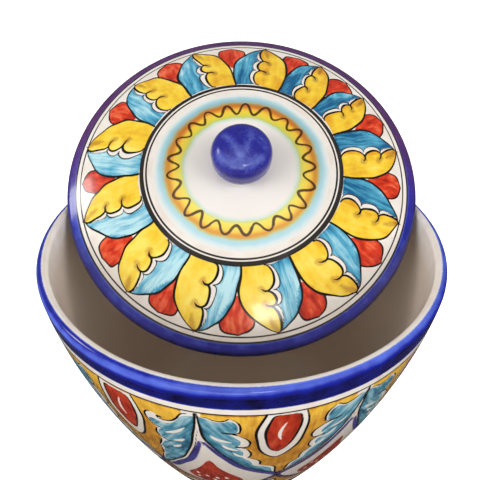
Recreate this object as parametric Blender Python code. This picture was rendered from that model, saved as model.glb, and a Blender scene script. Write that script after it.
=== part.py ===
"""Cookie jar: a round glazed earthenware pot, and a domed lid that leans open in its mouth.

The origin is the middle of the pot's base. +Z is up, -Y is the front and +X is the right.
Every length is in metres, and every piece is turned about its own axis.
"""
import math

import bmesh
import bpy
from mathutils import Vector

# Pot
JAR_HEIGHT = 0.150
RIM_RADIUS = 0.0991
FOOT_RADIUS = 0.0596
TAPER_POWER = 1.53
WALL = 0.0055
FLOOR = 0.008
FOOT_ROUNDING = 0.003
FLOOR_ROUNDING = 0.020

# Lid cover: how far it reaches over the mouth, its rolled edge, its dome and its wall
LID_OVERLAP = 0.0008
EDGE_RADIUS = 0.003
EDGE_SHOULDER = math.radians(20.0)
DOME_RISE = 0.0135
DOME_POWER = 2.5
LID_WALL = 0.005

# Locating ring under the lid: its play in the mouth, its depth below the edge, its wall and taper
FLANGE_PLAY = 0.0045
FLANGE_DEPTH = 0.007
FLANGE_WALL = 0.0045
FLANGE_TAPER = 0.003
FLANGE_ROUNDING = 0.0015

# Knob: a squat bun, with the roundings of its shoulder and belly, its straight side and its neck
KNOB_RADIUS = 0.0152
KNOB_SHOULDER = 0.006
KNOB_SIDE = 0.0044
KNOB_BELLY = 0.008
KNOB_TOP_RISE = 0.0006
KNOB_NECK_RADIUS = 0.0095
KNOB_NECK_HEIGHT = 0.0024

# How the lid leans: its back edge is raised and its middle is behind the pot's axis
LID_TILT = math.radians(33.7)
LID_SETBACK = 0.0310

# Space kept between pieces that touch on the real jar
SEAT_GAP = 0.0003

# Fineness of the turned surfaces
TURN_STEPS = 64
KNOB_STEPS = 40
REST_SAMPLES = 180
MERGE_DISTANCE = 0.000001

LIP_RADIUS = WALL / 2
LIP_HEIGHT = JAR_HEIGHT - LIP_RADIUS


def clear_scene():
    """Removes whatever the file opened with."""
    for thing in list(bpy.data.objects):
        bpy.data.objects.remove(thing, do_unlink=True)


def glaze(name, color, roughness):
    """A glossy glaze, as one Principled BSDF."""
    material = bpy.data.materials.new(name)
    material.use_nodes = True
    shader = material.node_tree.nodes["Principled BSDF"]
    shader.inputs["Base Color"].default_value = (*color, 1.0)
    shader.inputs["Roughness"].default_value = roughness
    shader.inputs["Metallic"].default_value = 0.0
    return material


def between(start, end, count):
    """Evenly spaced values from start to end, both included."""
    return [start + (end - start) * i / (count - 1) for i in range(count)]


def arc(center_r, center_z, radius, start, end, count):
    """Points on an arc in the turning plane, with angles measured from the outward direction."""
    return [
        (center_r + radius * math.cos(angle), center_z + radius * math.sin(angle))
        for angle in between(start, end, count)
    ]


def outer_radius(z):
    """Outside of the pot's wall at height z."""
    drop = max(JAR_HEIGHT - z, 0.0) / JAR_HEIGHT
    return RIM_RADIUS - (RIM_RADIUS - FOOT_RADIUS) * drop ** TAPER_POWER


def wall_slope(z):
    """How fast the pot's wall flares with height at height z."""
    drop = max(JAR_HEIGHT - z, 0.0) / JAR_HEIGHT
    return (RIM_RADIUS - FOOT_RADIUS) * TAPER_POWER / JAR_HEIGHT * drop ** (TAPER_POWER - 1.0)


def inner_radius(z):
    """Inside of the pot's wall at height z, a wall's thickness away from the outside."""
    return outer_radius(z) - WALL * math.hypot(1.0, wall_slope(z))


MOUTH_RADIUS = inner_radius(LIP_HEIGHT)
LID_RADIUS = MOUTH_RADIUS + LID_OVERLAP
EDGE_CENTER = LID_RADIUS - EDGE_RADIUS


def corner(radius_at, floor_z, rounding, count):
    """Arc from a flat floor into the flaring wall, tangent to both."""
    lean = math.atan(wall_slope(floor_z + rounding))
    touch_z = floor_z + rounding * (1.0 - math.sin(lean))
    center_r = radius_at(touch_z) - rounding * math.cos(lean)
    return arc(center_r, floor_z + rounding, rounding, -math.pi / 2, -lean, count)


def dome_foot():
    """Radius and height where the dome runs into the rolled edge."""
    return (
        EDGE_CENTER + EDGE_RADIUS * math.sin(EDGE_SHOULDER),
        EDGE_RADIUS * math.cos(EDGE_SHOULDER),
    )


def dome_top(r):
    """Height of the lid's upper surface at radius r, above the plane of its edge."""
    foot_r, foot_z = dome_foot()
    return foot_z + DOME_RISE * (1.0 - (r / foot_r) ** DOME_POWER)


def dome_underside(r):
    """Height of the lid's lower surface at radius r, above the plane of its edge."""
    rise = dome_top(0.0) - LID_WALL + EDGE_RADIUS
    return rise * (1.0 - (r / EDGE_CENTER) ** DOME_POWER) - EDGE_RADIUS


def jar_outline():
    """Outline of the pot, from the middle of its base round the lip to the middle of its floor."""
    foot = corner(outer_radius, 0.0, FOOT_ROUNDING, 4)
    bowl = corner(inner_radius, FLOOR, FLOOR_ROUNDING, 6)
    outside = [(outer_radius(z), z) for z in between(foot[-1][1], LIP_HEIGHT, 14)]
    inside = [(inner_radius(z), z) for z in between(LIP_HEIGHT, bowl[-1][1], 12)]
    lip_center = (outside[-1][0] + inside[0][0]) / 2
    lip_width = (outside[-1][0] - inside[0][0]) / 2
    lip = arc(lip_center, LIP_HEIGHT, lip_width, 0.0, math.pi, 9)
    return [(0.0, 0.0), *foot, *outside[1:-1], *lip, *inside[1:-1], *reversed(bowl), (0.0, FLOOR)]


def cover_outline():
    """Outline of the lid's cover, from the crown over the rolled edge to the middle underneath."""
    foot_r, _ = dome_foot()
    top = [(r, dome_top(r)) for r in between(0.0, foot_r, 12)]
    edge = arc(EDGE_CENTER, 0.0, EDGE_RADIUS, math.pi / 2 - EDGE_SHOULDER, -math.pi / 2, 8)
    underside = [(r, dome_underside(r)) for r in between(EDGE_CENTER, 0.0, 10)]
    return [*top[:-1], *edge, *underside[1:]]


def flange_outline():
    """Closed outline of the locating ring, which follows the cover's underside at its top."""
    outer = MOUTH_RADIUS - FLANGE_PLAY
    inner = outer - FLANGE_WALL
    low_outer = outer - FLANGE_TAPER
    low_inner = low_outer - FLANGE_WALL
    bottom = -EDGE_RADIUS - FLANGE_DEPTH
    top = [(r, dome_underside(r) - SEAT_GAP) for r in between(outer, inner, 4)]
    center_z = bottom + FLANGE_ROUNDING
    inner_corner = arc(low_inner + FLANGE_ROUNDING, center_z, FLANGE_ROUNDING, -math.pi, -math.pi / 2, 4)
    outer_corner = arc(low_outer - FLANGE_ROUNDING, center_z, FLANGE_ROUNDING, -math.pi / 2, 0.0, 4)
    return [*top, *inner_corner, *outer_corner]


def knob_outline():
    """Outline of the knob, from its top over the shoulder and belly to the neck on the crown."""
    seat = dome_top(0.0) + SEAT_GAP
    flat = KNOB_RADIUS - KNOB_SHOULDER
    belly_r = KNOB_RADIUS - KNOB_BELLY
    neck_angle = math.acos((KNOB_NECK_RADIUS - belly_r) / KNOB_BELLY)
    belly_z = seat + KNOB_NECK_HEIGHT + KNOB_BELLY * math.sin(neck_angle)
    shoulder_z = belly_z + KNOB_SIDE
    top_z = shoulder_z + KNOB_SHOULDER
    top = [(r, top_z + KNOB_TOP_RISE * (1.0 - (r / flat) ** 2)) for r in between(0.0, flat, 4)]
    shoulder = arc(flat, shoulder_z, KNOB_SHOULDER, math.pi / 2, 0.0, 6)
    belly = arc(belly_r, belly_z, KNOB_BELLY, 0.0, -neck_angle, 6)
    return [*top[:-1], *shoulder, *belly, (KNOB_NECK_RADIUS, seat), (0.0, seat)]


def room_in_mouth(point):
    """Distance from a point to the pot's lip or inner wall, below zero inside the clay."""
    radial = math.hypot(point.x, point.y)
    if point.z > LIP_HEIGHT:
        return math.hypot(radial - MOUTH_RADIUS - LIP_RADIUS, point.z - LIP_HEIGHT) - LIP_RADIUS
    return inner_radius(point.z) - radial


def lid_point(r, h, turn, height):
    """Place of a point of the leaning lid, whose middle is at the given height."""
    back = Vector((0.0, math.cos(LID_TILT), math.sin(LID_TILT)))
    up = Vector((0.0, -math.sin(LID_TILT), math.cos(LID_TILT)))
    middle = Vector((0.0, LID_SETBACK, height))
    return middle + Vector((r * math.cos(turn), 0.0, 0.0)) + back * (r * math.sin(turn)) + up * h


def resting_height():
    """Height of the lid's middle when the leaning lid has come down on the pot's lip."""
    outline = cover_outline() + flange_outline()
    turns = [2 * math.pi * i / REST_SAMPLES for i in range(REST_SAMPLES)]
    low = LIP_HEIGHT
    high = JAR_HEIGHT + 2 * LID_RADIUS
    while high - low > MERGE_DISTANCE:
        middle = (low + high) / 2
        room = min(room_in_mouth(lid_point(r, h, turn, middle)) for r, h in outline for turn in turns)
        if room > SEAT_GAP:
            high = middle
        else:
            low = middle
    return high


def turn(name, outline, material, steps, ring=False, parent=None):
    """Turns an outline about the Z axis into a closed body; a ring's outline closes on itself."""
    shape = bmesh.new()
    points = [shape.verts.new((r, 0.0, z)) for r, z in outline]
    edges = [shape.edges.new(pair) for pair in zip(points, points[1:])]
    if ring:
        edges.append(shape.edges.new((points[-1], points[0])))
    bmesh.ops.spin(
        shape,
        geom=points + edges,
        cent=(0.0, 0.0, 0.0),
        axis=(0.0, 0.0, 1.0),
        angle=2 * math.pi,
        steps=steps,
    )
    bmesh.ops.remove_doubles(shape, verts=shape.verts, dist=MERGE_DISTANCE)
    bmesh.ops.recalc_face_normals(shape, faces=shape.faces)
    mesh = bpy.data.meshes.new(name)
    shape.to_mesh(mesh)
    shape.free()
    mesh.shade_smooth()
    mesh.set_sharp_from_angle(angle=math.radians(40.0))
    mesh.materials.append(material)
    piece = bpy.data.objects.new(name, mesh)
    bpy.context.scene.collection.objects.link(piece)
    piece.parent = parent
    return piece


def lid_pose():
    """Empty on the lift's axis, through the lid's middle, that carries the lid's three pieces."""
    pose = bpy.data.objects.new("lid_pose", None)
    pose.location = (0.0, LID_SETBACK, resting_height())
    pose.rotation_euler = (LID_TILT, 0.0, 0.0)
    bpy.context.scene.collection.objects.link(pose)
    return pose


def main():
    """Builds the pot and the leaning lid."""
    clear_scene()
    ochre = glaze("ochre_painted_glaze", (0.76, 0.40, 0.05), 0.18)
    yellow = glaze("yellow_painted_glaze", (0.90, 0.62, 0.10), 0.18)
    white = glaze("white_glaze", (0.82, 0.78, 0.72), 0.22)
    cobalt = glaze("cobalt_glaze", (0.02, 0.03, 0.32), 0.12)
    pose = lid_pose()
    turn("jar_body", jar_outline(), ochre, TURN_STEPS)
    turn("lid_cover", cover_outline(), yellow, TURN_STEPS, parent=pose)
    turn("lid_flange", flange_outline(), white, TURN_STEPS, ring=True, parent=pose)
    turn("lid_knob", knob_outline(), cobalt, KNOB_STEPS, parent=pose)
    bpy.context.view_layer.update()


main()
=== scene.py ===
"""A hand-painted cookie jar: a pot in tin-glazed earthenware, and its domed lid, which leans in the mouth.

Sizes in the classes are millimetres, as on a potter's drawing, and MM turns them to Blender's metres.
The origin is the middle of the pot's base. +Z is up, -Y is the front and +X is the right.
"""
import logging
import math
from collections.abc import Callable
from dataclasses import dataclass, replace
from enum import Enum

import bpy
import numpy as np
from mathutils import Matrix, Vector


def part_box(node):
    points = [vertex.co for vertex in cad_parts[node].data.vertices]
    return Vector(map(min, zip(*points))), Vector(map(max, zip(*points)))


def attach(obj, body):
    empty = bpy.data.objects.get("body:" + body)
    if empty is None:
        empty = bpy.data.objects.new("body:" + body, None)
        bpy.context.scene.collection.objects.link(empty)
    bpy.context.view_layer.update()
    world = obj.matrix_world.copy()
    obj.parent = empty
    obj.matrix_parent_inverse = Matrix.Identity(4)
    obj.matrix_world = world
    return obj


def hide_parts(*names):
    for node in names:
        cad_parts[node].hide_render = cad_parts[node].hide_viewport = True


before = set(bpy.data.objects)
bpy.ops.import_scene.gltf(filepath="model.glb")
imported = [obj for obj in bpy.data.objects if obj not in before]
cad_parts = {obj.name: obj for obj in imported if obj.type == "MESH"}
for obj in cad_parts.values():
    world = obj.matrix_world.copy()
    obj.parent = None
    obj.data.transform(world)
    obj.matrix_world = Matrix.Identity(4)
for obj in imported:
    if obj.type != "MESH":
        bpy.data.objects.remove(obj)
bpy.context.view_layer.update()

MM = 0.001
# The depth in millimetres at which a spot outside a brush mark counts as far from it.
FAR = 4.0
# Vertices closer than this, in metres, are one.
WELD = 0.000001
# How near to a line or to the edge of a pale touch the mesh is cut finer, in millimetres.
LINE_MARGIN = 0.15
TOUCH_MARGIN = 0.5
# How far outside a painted shape its tone still reaches, in millimetres, for its frayed edge.
TONE_MARGIN = 0.5
# The distance after which Blender's wave texture repeats at scale 1.
WAVE_PERIOD = 0.314
LOG = logging.getLogger("cookie_jar")

Place = tuple[float, float]
Profile = list[Place]
Points = tuple[Place, ...]
Pressure = tuple[float, ...]
Stops = tuple[tuple[float, str], ...]
Tree = bpy.types.NodeTree
Socket = bpy.types.NodeSocket
Noises = dict[str, Socket]
Material = bpy.types.Material
Object = bpy.types.Object


def between(start: float, end: float, count: int) -> list[float]:
    """Gives evenly spaced values.

    Args:
        start: The first value.
        end: The last value.
        count: How many values, both ends included.

    Returns:
        The values in order.
    """
    return [start + (end - start) * i / (count - 1) for i in range(count)]


def straight(start: Place, end: Place, count: int) -> Profile:
    """Gives evenly spaced points on a straight stretch in the turning plane.

    Args:
        start: The place where it starts, which isn't among the points.
        end: The place where it ends, which isn't among them either.
        count: How many points.

    Returns:
        The points in order.
    """
    distances = between(start[0], end[0], count + 2)
    heights = between(start[1], end[1], count + 2)
    return list(zip(distances, heights))[1:-1]


def arc(center: Place, radius: float, start: float, end: float, count: int) -> Profile:
    """Gives points on an arc in the turning plane.

    Args:
        center: Its centre, as distance from the axis and height.
        radius: Its radius.
        start: The first angle in degrees, measured from the outward direction.
        end: The last angle in degrees.
        count: How many points.

    Returns:
        The points in order.
    """
    turns = [math.radians(angle) for angle in between(start, end, count)]
    return [(center[0] + radius * math.cos(a), center[1] + radius * math.sin(a)) for a in turns]


def smooth_line(points: Profile | Points | np.ndarray, step: float = 0.8) -> np.ndarray:
    """Draws one flowing curve through a few points, as a loaded brush does.

    Args:
        points: The points that the curve passes, in millimetres.
        step: The distance between the points that are returned, in millimetres.

    Returns:
        An array of points along the curve.
    """
    line = np.array(points, float)
    padded = np.vstack([2 * line[0] - line[1], line, 2 * line[-1] - line[-2]])
    pieces = []
    for a, b, c, d in zip(padded, padded[1:], padded[2:], padded[3:]):
        count = max(2, int(np.linalg.norm(c - b) / step) + 1)
        t = np.linspace(0.0, 1.0, count, endpoint=False)[:, None]
        even = 2 * b + (c - a) * t
        bend = (2 * a - 5 * b + 4 * c - d) * t ** 2 + (3 * b - a - 3 * c + d) * t ** 3
        pieces.append((even + bend) / 2)
    return np.vstack([*pieces, line[-1:]])


def stroke_depth(spots: np.ndarray, line: np.ndarray, pressure: Pressure) -> np.ndarray:
    """Measures how deep each spot lies inside one brush stroke.

    Args:
        spots: Flat places in millimetres, one row each.
        line: The points that the middle of the brush passes.
        pressure: Half the stroke's width in millimetres, at even steps along it.

    Returns:
        The depth in millimetres, below zero outside the stroke and never below -FAR.
    """
    depth = np.full(len(spots), -FAR)
    low = line.min(axis=0) - FAR
    high = line.max(axis=0) + FAR
    near = np.flatnonzero(((spots > low) & (spots < high)).all(axis=1))
    place = spots[near]
    best = np.full(len(near), -FAR)
    widths = np.interp(np.linspace(0, 1, len(line)), np.linspace(0, 1, len(pressure)), pressure)
    for start, end, wide, next_wide in zip(line[:-1], line[1:], widths[:-1], widths[1:]):
        run = end - start
        along = np.clip((place - start) @ run / max(run @ run, WELD), 0.0, 1.0)
        away = np.hypot(*(place - start - along[:, None] * run).T)
        best = np.maximum(best, wide + (next_wide - wide) * along - away)
    depth[near] = best
    return depth


def fill_depth(spots: np.ndarray, outline: np.ndarray) -> np.ndarray:
    """Measures how deep each spot lies inside a closed outline.

    Args:
        spots: Flat places in millimetres, one row each.
        outline: The outline's points, without the first repeated.

    Returns:
        The distance to the outline in millimetres, below zero outside.
    """
    ring = np.vstack([outline, outline[:1]])
    away = -stroke_depth(spots, ring, (0.0, 0.0))
    inside = np.zeros(len(spots), bool)
    for (x0, y0), (x1, y1) in zip(ring[:-1], ring[1:]):
        if y0 == y1:
            continue
        crosses = (spots[:, 1] > y0) != (spots[:, 1] > y1)
        reach = x0 + (spots[:, 1] - y0) * (x1 - x0) / (y1 - y0)
        inside ^= crosses & (spots[:, 0] < reach)
    return np.where(inside, away, -away)


class Hand:
    """The slow drift of a painter's hand, as a smooth shift of the drawing over the surface."""

    WAVES = 9
    SPREAD = (0.6, 1.7)

    def __init__(self, seed: int, drift: float, wavelength: float) -> None:
        """Chooses the waves of the drift.

        Args:
            seed: Makes each hand its own.
            drift: How far the drawing wanders, in millimetres.
            wavelength: The usual distance over which it wanders, in millimetres.
        """
        chance = np.random.default_rng(seed)
        ways = chance.normal(size=(self.WAVES, 3))
        ways /= np.linalg.norm(ways, axis=1)[:, None]
        lengths = wavelength * chance.uniform(*self.SPREAD, self.WAVES)
        self.waves = ways * (2 * math.pi / lengths)[:, None]
        self.phases = chance.uniform(0, 2 * math.pi, self.WAVES)
        self.pushes = chance.normal(size=(self.WAVES, 2)) * drift * math.sqrt(2 / self.WAVES)

    def drift(self, places: np.ndarray) -> np.ndarray:
        """Gives the shift at each place of the piece, two values in millimetres each."""
        return np.sin(places @ self.waves.T + self.phases) @ self.pushes


class Paint(Enum):
    """The paints, by the attribute that holds each one's depth inside its brush marks."""

    WHITE = "white_ground"
    OCHRE = "ochre_wash"
    ORANGE = "orange_wash"
    YELLOW = "yellow_wash"
    BLUE = "blue_wash"
    VIOLET = "violet_wash"
    RED = "red_wash"
    COBALT = "cobalt_band"
    TOUCH = "white_touch"
    BROWN = "brown_line"
    INK = "ink_line"


class Sheet:
    """The paint on one turned piece: for each vertex, how deep it lies in each paint's marks."""

    def __init__(self, places: np.ndarray, ring: np.ndarray) -> None:
        """Starts with a bare surface.

        Args:
            places: The vertices in the piece's own turned frame, in millimetres.
            ring: Each vertex's distance along the turned profile, in millimetres.
        """
        self.places = places
        self.ring = ring
        self.paints: dict[Paint, np.ndarray] = {}
        self.tone = np.zeros(len(places))
        self.flow = places.copy()

    def lay(self, paint: Paint, index: np.ndarray, depth: np.ndarray) -> None:
        """Adds marks of one paint.

        Args:
            paint: Which paint.
            index: The vertices that the marks may reach.
            depth: How deep each of them lies in the marks, in millimetres.
        """
        layer = self.paints.setdefault(paint, np.full(len(self.places), -FAR))
        layer[index] = np.maximum(layer[index], depth)

    def depth(self, paint: Paint) -> np.ndarray:
        """Gives one paint's depth at every vertex."""
        return self.paints.get(paint, np.full(len(self.places), -FAR))


@dataclass(frozen=True)
class Patch:
    """The vertices of a sheet that lie near one motif, and their places on the flat sheet of its design."""

    sheet: Sheet
    index: np.ndarray
    spots: np.ndarray

    def lay(self, paint: Paint, depth: np.ndarray) -> None:
        """Adds marks of one paint, given how deep each vertex lies in them."""
        self.sheet.lay(paint, self.index, depth)

    def stroke(self, paint: Paint, line: np.ndarray, pressure: Pressure) -> None:
        """Adds one brush stroke along a line."""
        self.lay(paint, stroke_depth(self.spots, line, pressure))

    def inside(self, *lines: np.ndarray) -> np.ndarray:
        """Gives how deep each vertex lies inside the outline that a few lines make, end to end."""
        return fill_depth(self.spots, np.vstack(lines))

    def away(self, line: np.ndarray) -> np.ndarray:
        """Gives each vertex's distance from a line in millimetres, up to where it counts as far."""
        return np.maximum(-stroke_depth(self.spots, line, (0.0,)), 0.0)


def deselect() -> None:
    """Leaves edit mode and selects nothing."""
    if bpy.context.object and bpy.context.object.mode != "OBJECT":
        bpy.ops.object.mode_set(mode="OBJECT")
    bpy.ops.object.select_all(action="DESELECT")


def activate(piece: Object) -> None:
    """Makes one piece the active one and the only one selected.

    Args:
        piece: The piece.
    """
    deselect()
    piece.select_set(True)
    bpy.context.view_layer.objects.active = piece


def turned(name: str, profile: Profile, steps: int) -> Object:
    """Turns a profile about the Z axis, as clay on a wheel.

    Args:
        name: The piece's name.
        profile: Points in millimetres, as distance from the axis and height.
        steps: How many steps the full turn takes.

    Returns:
        The turned shell, open where its profile is open away from the axis.
    """
    deselect()
    bpy.ops.mesh.primitive_plane_add(size=MM)
    piece = bpy.context.object
    piece.name = name
    piece.data.name = name
    bpy.ops.object.mode_set(mode="EDIT")
    bpy.ops.mesh.select_mode(type="VERT")
    bpy.ops.mesh.select_all(action="SELECT")
    bpy.ops.mesh.merge(type="CENTER")
    bpy.ops.transform.translate(value=(profile[0][0] * MM, 0.0, profile[0][1] * MM))
    for (r0, z0), (r1, z1) in zip(profile, profile[1:]):
        step = ((r1 - r0) * MM, 0.0, (z1 - z0) * MM)
        bpy.ops.mesh.extrude_region_move(TRANSFORM_OT_translate={"value": step})
    bpy.ops.object.mode_set(mode="OBJECT")
    wheel = piece.modifiers.new("wheel", "SCREW")
    wheel.axis = "Z"
    wheel.steps = steps
    wheel.render_steps = steps
    wheel.use_merge_vertices = True
    wheel.merge_threshold = WELD
    bpy.ops.object.modifier_apply(modifier=wheel.name)
    bpy.ops.object.mode_set(mode="EDIT")
    bpy.ops.mesh.select_all(action="SELECT")
    bpy.ops.mesh.remove_doubles(threshold=WELD)
    bpy.ops.mesh.normals_make_consistent(inside=False)
    bpy.ops.object.mode_set(mode="OBJECT")
    return piece


def joined(pieces: list[Object]) -> Object:
    """Joins open shells that meet at one gap, and bridges the gap.

    Args:
        pieces: The shells, the first of which keeps its name.

    Returns:
        One closed shell.
    """
    activate(pieces[0])
    for piece in pieces:
        piece.select_set(True)
    bpy.ops.object.join()
    bpy.ops.object.mode_set(mode="EDIT")
    bpy.ops.mesh.select_mode(type="EDGE")
    bpy.ops.mesh.select_all(action="DESELECT")
    bpy.ops.mesh.select_non_manifold(extend=False, use_wire=False, use_multi_face=False, use_verts=False)
    bpy.ops.mesh.bridge_edge_loops()
    bpy.ops.mesh.select_all(action="SELECT")
    bpy.ops.mesh.normals_make_consistent(inside=False)
    bpy.ops.object.mode_set(mode="OBJECT")
    return pieces[0]


def places_of(piece: Object) -> np.ndarray:
    """Reads where a piece's vertices are.

    Args:
        piece: The piece.

    Returns:
        Their places in millimetres, one row each.
    """
    flat = np.zeros(len(piece.data.vertices) * 3)
    piece.data.vertices.foreach_get("co", flat)
    return flat.reshape(-1, 3) / MM


def refine(piece: Object, wanted: np.ndarray) -> None:
    """Cuts the faces at the wanted vertices in four, so that fine lines stay sharp there.

    Args:
        piece: The piece.
        wanted: True for each vertex that a fine line passes close to.
    """
    activate(piece)
    bpy.ops.object.mode_set(mode="EDIT")
    bpy.ops.mesh.select_mode(type="FACE")
    bpy.ops.mesh.select_all(action="DESELECT")
    bpy.ops.object.mode_set(mode="OBJECT")
    chosen = [any(wanted[corner] for corner in face.vertices) for face in piece.data.polygons]
    piece.data.polygons.foreach_set("select", chosen)
    bpy.ops.object.mode_set(mode="EDIT")
    bpy.ops.mesh.subdivide(number_cuts=1, ngon=False)
    bpy.ops.object.mode_set(mode="OBJECT")


def keep_values(piece: Object, name: str, values: np.ndarray) -> None:
    """Stores one number or one vector for each vertex as a mesh attribute.

    Args:
        piece: The piece.
        name: The attribute's name.
        values: A flat array of numbers, or rows of three.
    """
    vector = values.ndim == 2
    layer = piece.data.attributes.new(name, "FLOAT_VECTOR" if vector else "FLOAT", "POINT")
    layer.data.foreach_set("vector" if vector else "value", values.astype(np.float32).ravel())


def smooth_shade(piece: Object, degrees: float = 40.0) -> None:
    """Shades a piece smooth, apart from edges sharper than an angle."""
    activate(piece)
    bpy.ops.object.shade_smooth_by_angle(angle=math.radians(degrees))


def color(code: str) -> tuple[float, float, float, float]:
    """Turns a colour from sRGB to linear.

    Args:
        code: The colour as hex, such as "#f3ece4".

    Returns:
        Red, green, blue and a full alpha.
    """
    parts = [int(code[i:i + 2], 16) / 255 for i in (1, 3, 5)]
    linear = [c / 12.92 if c <= 0.04045 else ((c + 0.055) / 1.055) ** 2.4 for c in parts]
    return (linear[0], linear[1], linear[2], 1.0)


def add(tree: Tree, kind: str, links: dict | None = None, **settings: object) -> bpy.types.Node:
    """Adds one node.

    Args:
        tree: The material's node tree.
        kind: The node's type, without its "ShaderNode" prefix.
        links: What each input gets, by its name or number: another node's output, or a value.
        settings: The node's own settings.

    Returns:
        The node.
    """
    made = tree.nodes.new("ShaderNode" + kind)
    for name, value in settings.items():
        setattr(made, name, value)
    for name, value in (links or {}).items():
        if isinstance(value, Socket):
            tree.links.new(value, made.inputs[name])
        else:
            made.inputs[name].default_value = value
    return made


def blend(tree: Tree, under: Socket | tuple, over: Socket | tuple, cover: Socket) -> Socket:
    """Lays one colour over another where cover is 1."""
    return add(tree, "Mix", {0: cover, 6: under, 7: over}, data_type="RGBA", clamp_factor=True).outputs[2]


def set_stops(ramp: bpy.types.Node, stops: Stops) -> Socket:
    """Gives a new colour ramp its colours.

    Args:
        ramp: The ramp's node.
        stops: At least two places between 0 and 1, in order, each with its colour.

    Returns:
        The ramp's colour.
    """
    elements = ramp.color_ramp.elements
    for count, (where, code) in enumerate(stops):
        stop = elements[count] if count < 2 else elements.new(where)
        stop.position = where
        stop.color = color(code)
    return ramp.outputs["Color"]


def new_material(name: str) -> tuple[Material, Tree, bpy.types.Node]:
    """Starts a material.

    Args:
        name: The material's name.

    Returns:
        The material, its node tree and its Principled shader.
    """
    material = bpy.data.materials.new(name)
    material.use_nodes = True
    return material, material.node_tree, material.node_tree.nodes["Principled BSDF"]


@dataclass(frozen=True)
class Wash:
    """One paint as it lies on the raw glaze: thin and pale where brushed out, deep where it pools.

    Cover is how much it hides, soft and fray how its edge melts and frays in millimetres, and streak,
    cloud and pool how far the bristles, the glaze and a pooled edge of pool_width millimetres shift its tone.
    """

    paint: Paint
    thin: str
    body: str
    deep: str
    cover: float = 1.0
    soft: float = 0.16
    fray: float = 0.35
    streak: float = 0.5
    cloud: float = 0.3
    pool: float = 0.25
    pool_width: float = 1.0
    tone: float = 0.5


@dataclass(frozen=True)
class RingLine:
    """A line drawn with the wheel turning: its distance along the profile and half its width.

    The swell is how much of the half width is gained at the front and lost at the back.
    """

    ring: float
    half: float
    strength: float = 0.98
    swell: float = 0.0


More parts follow.
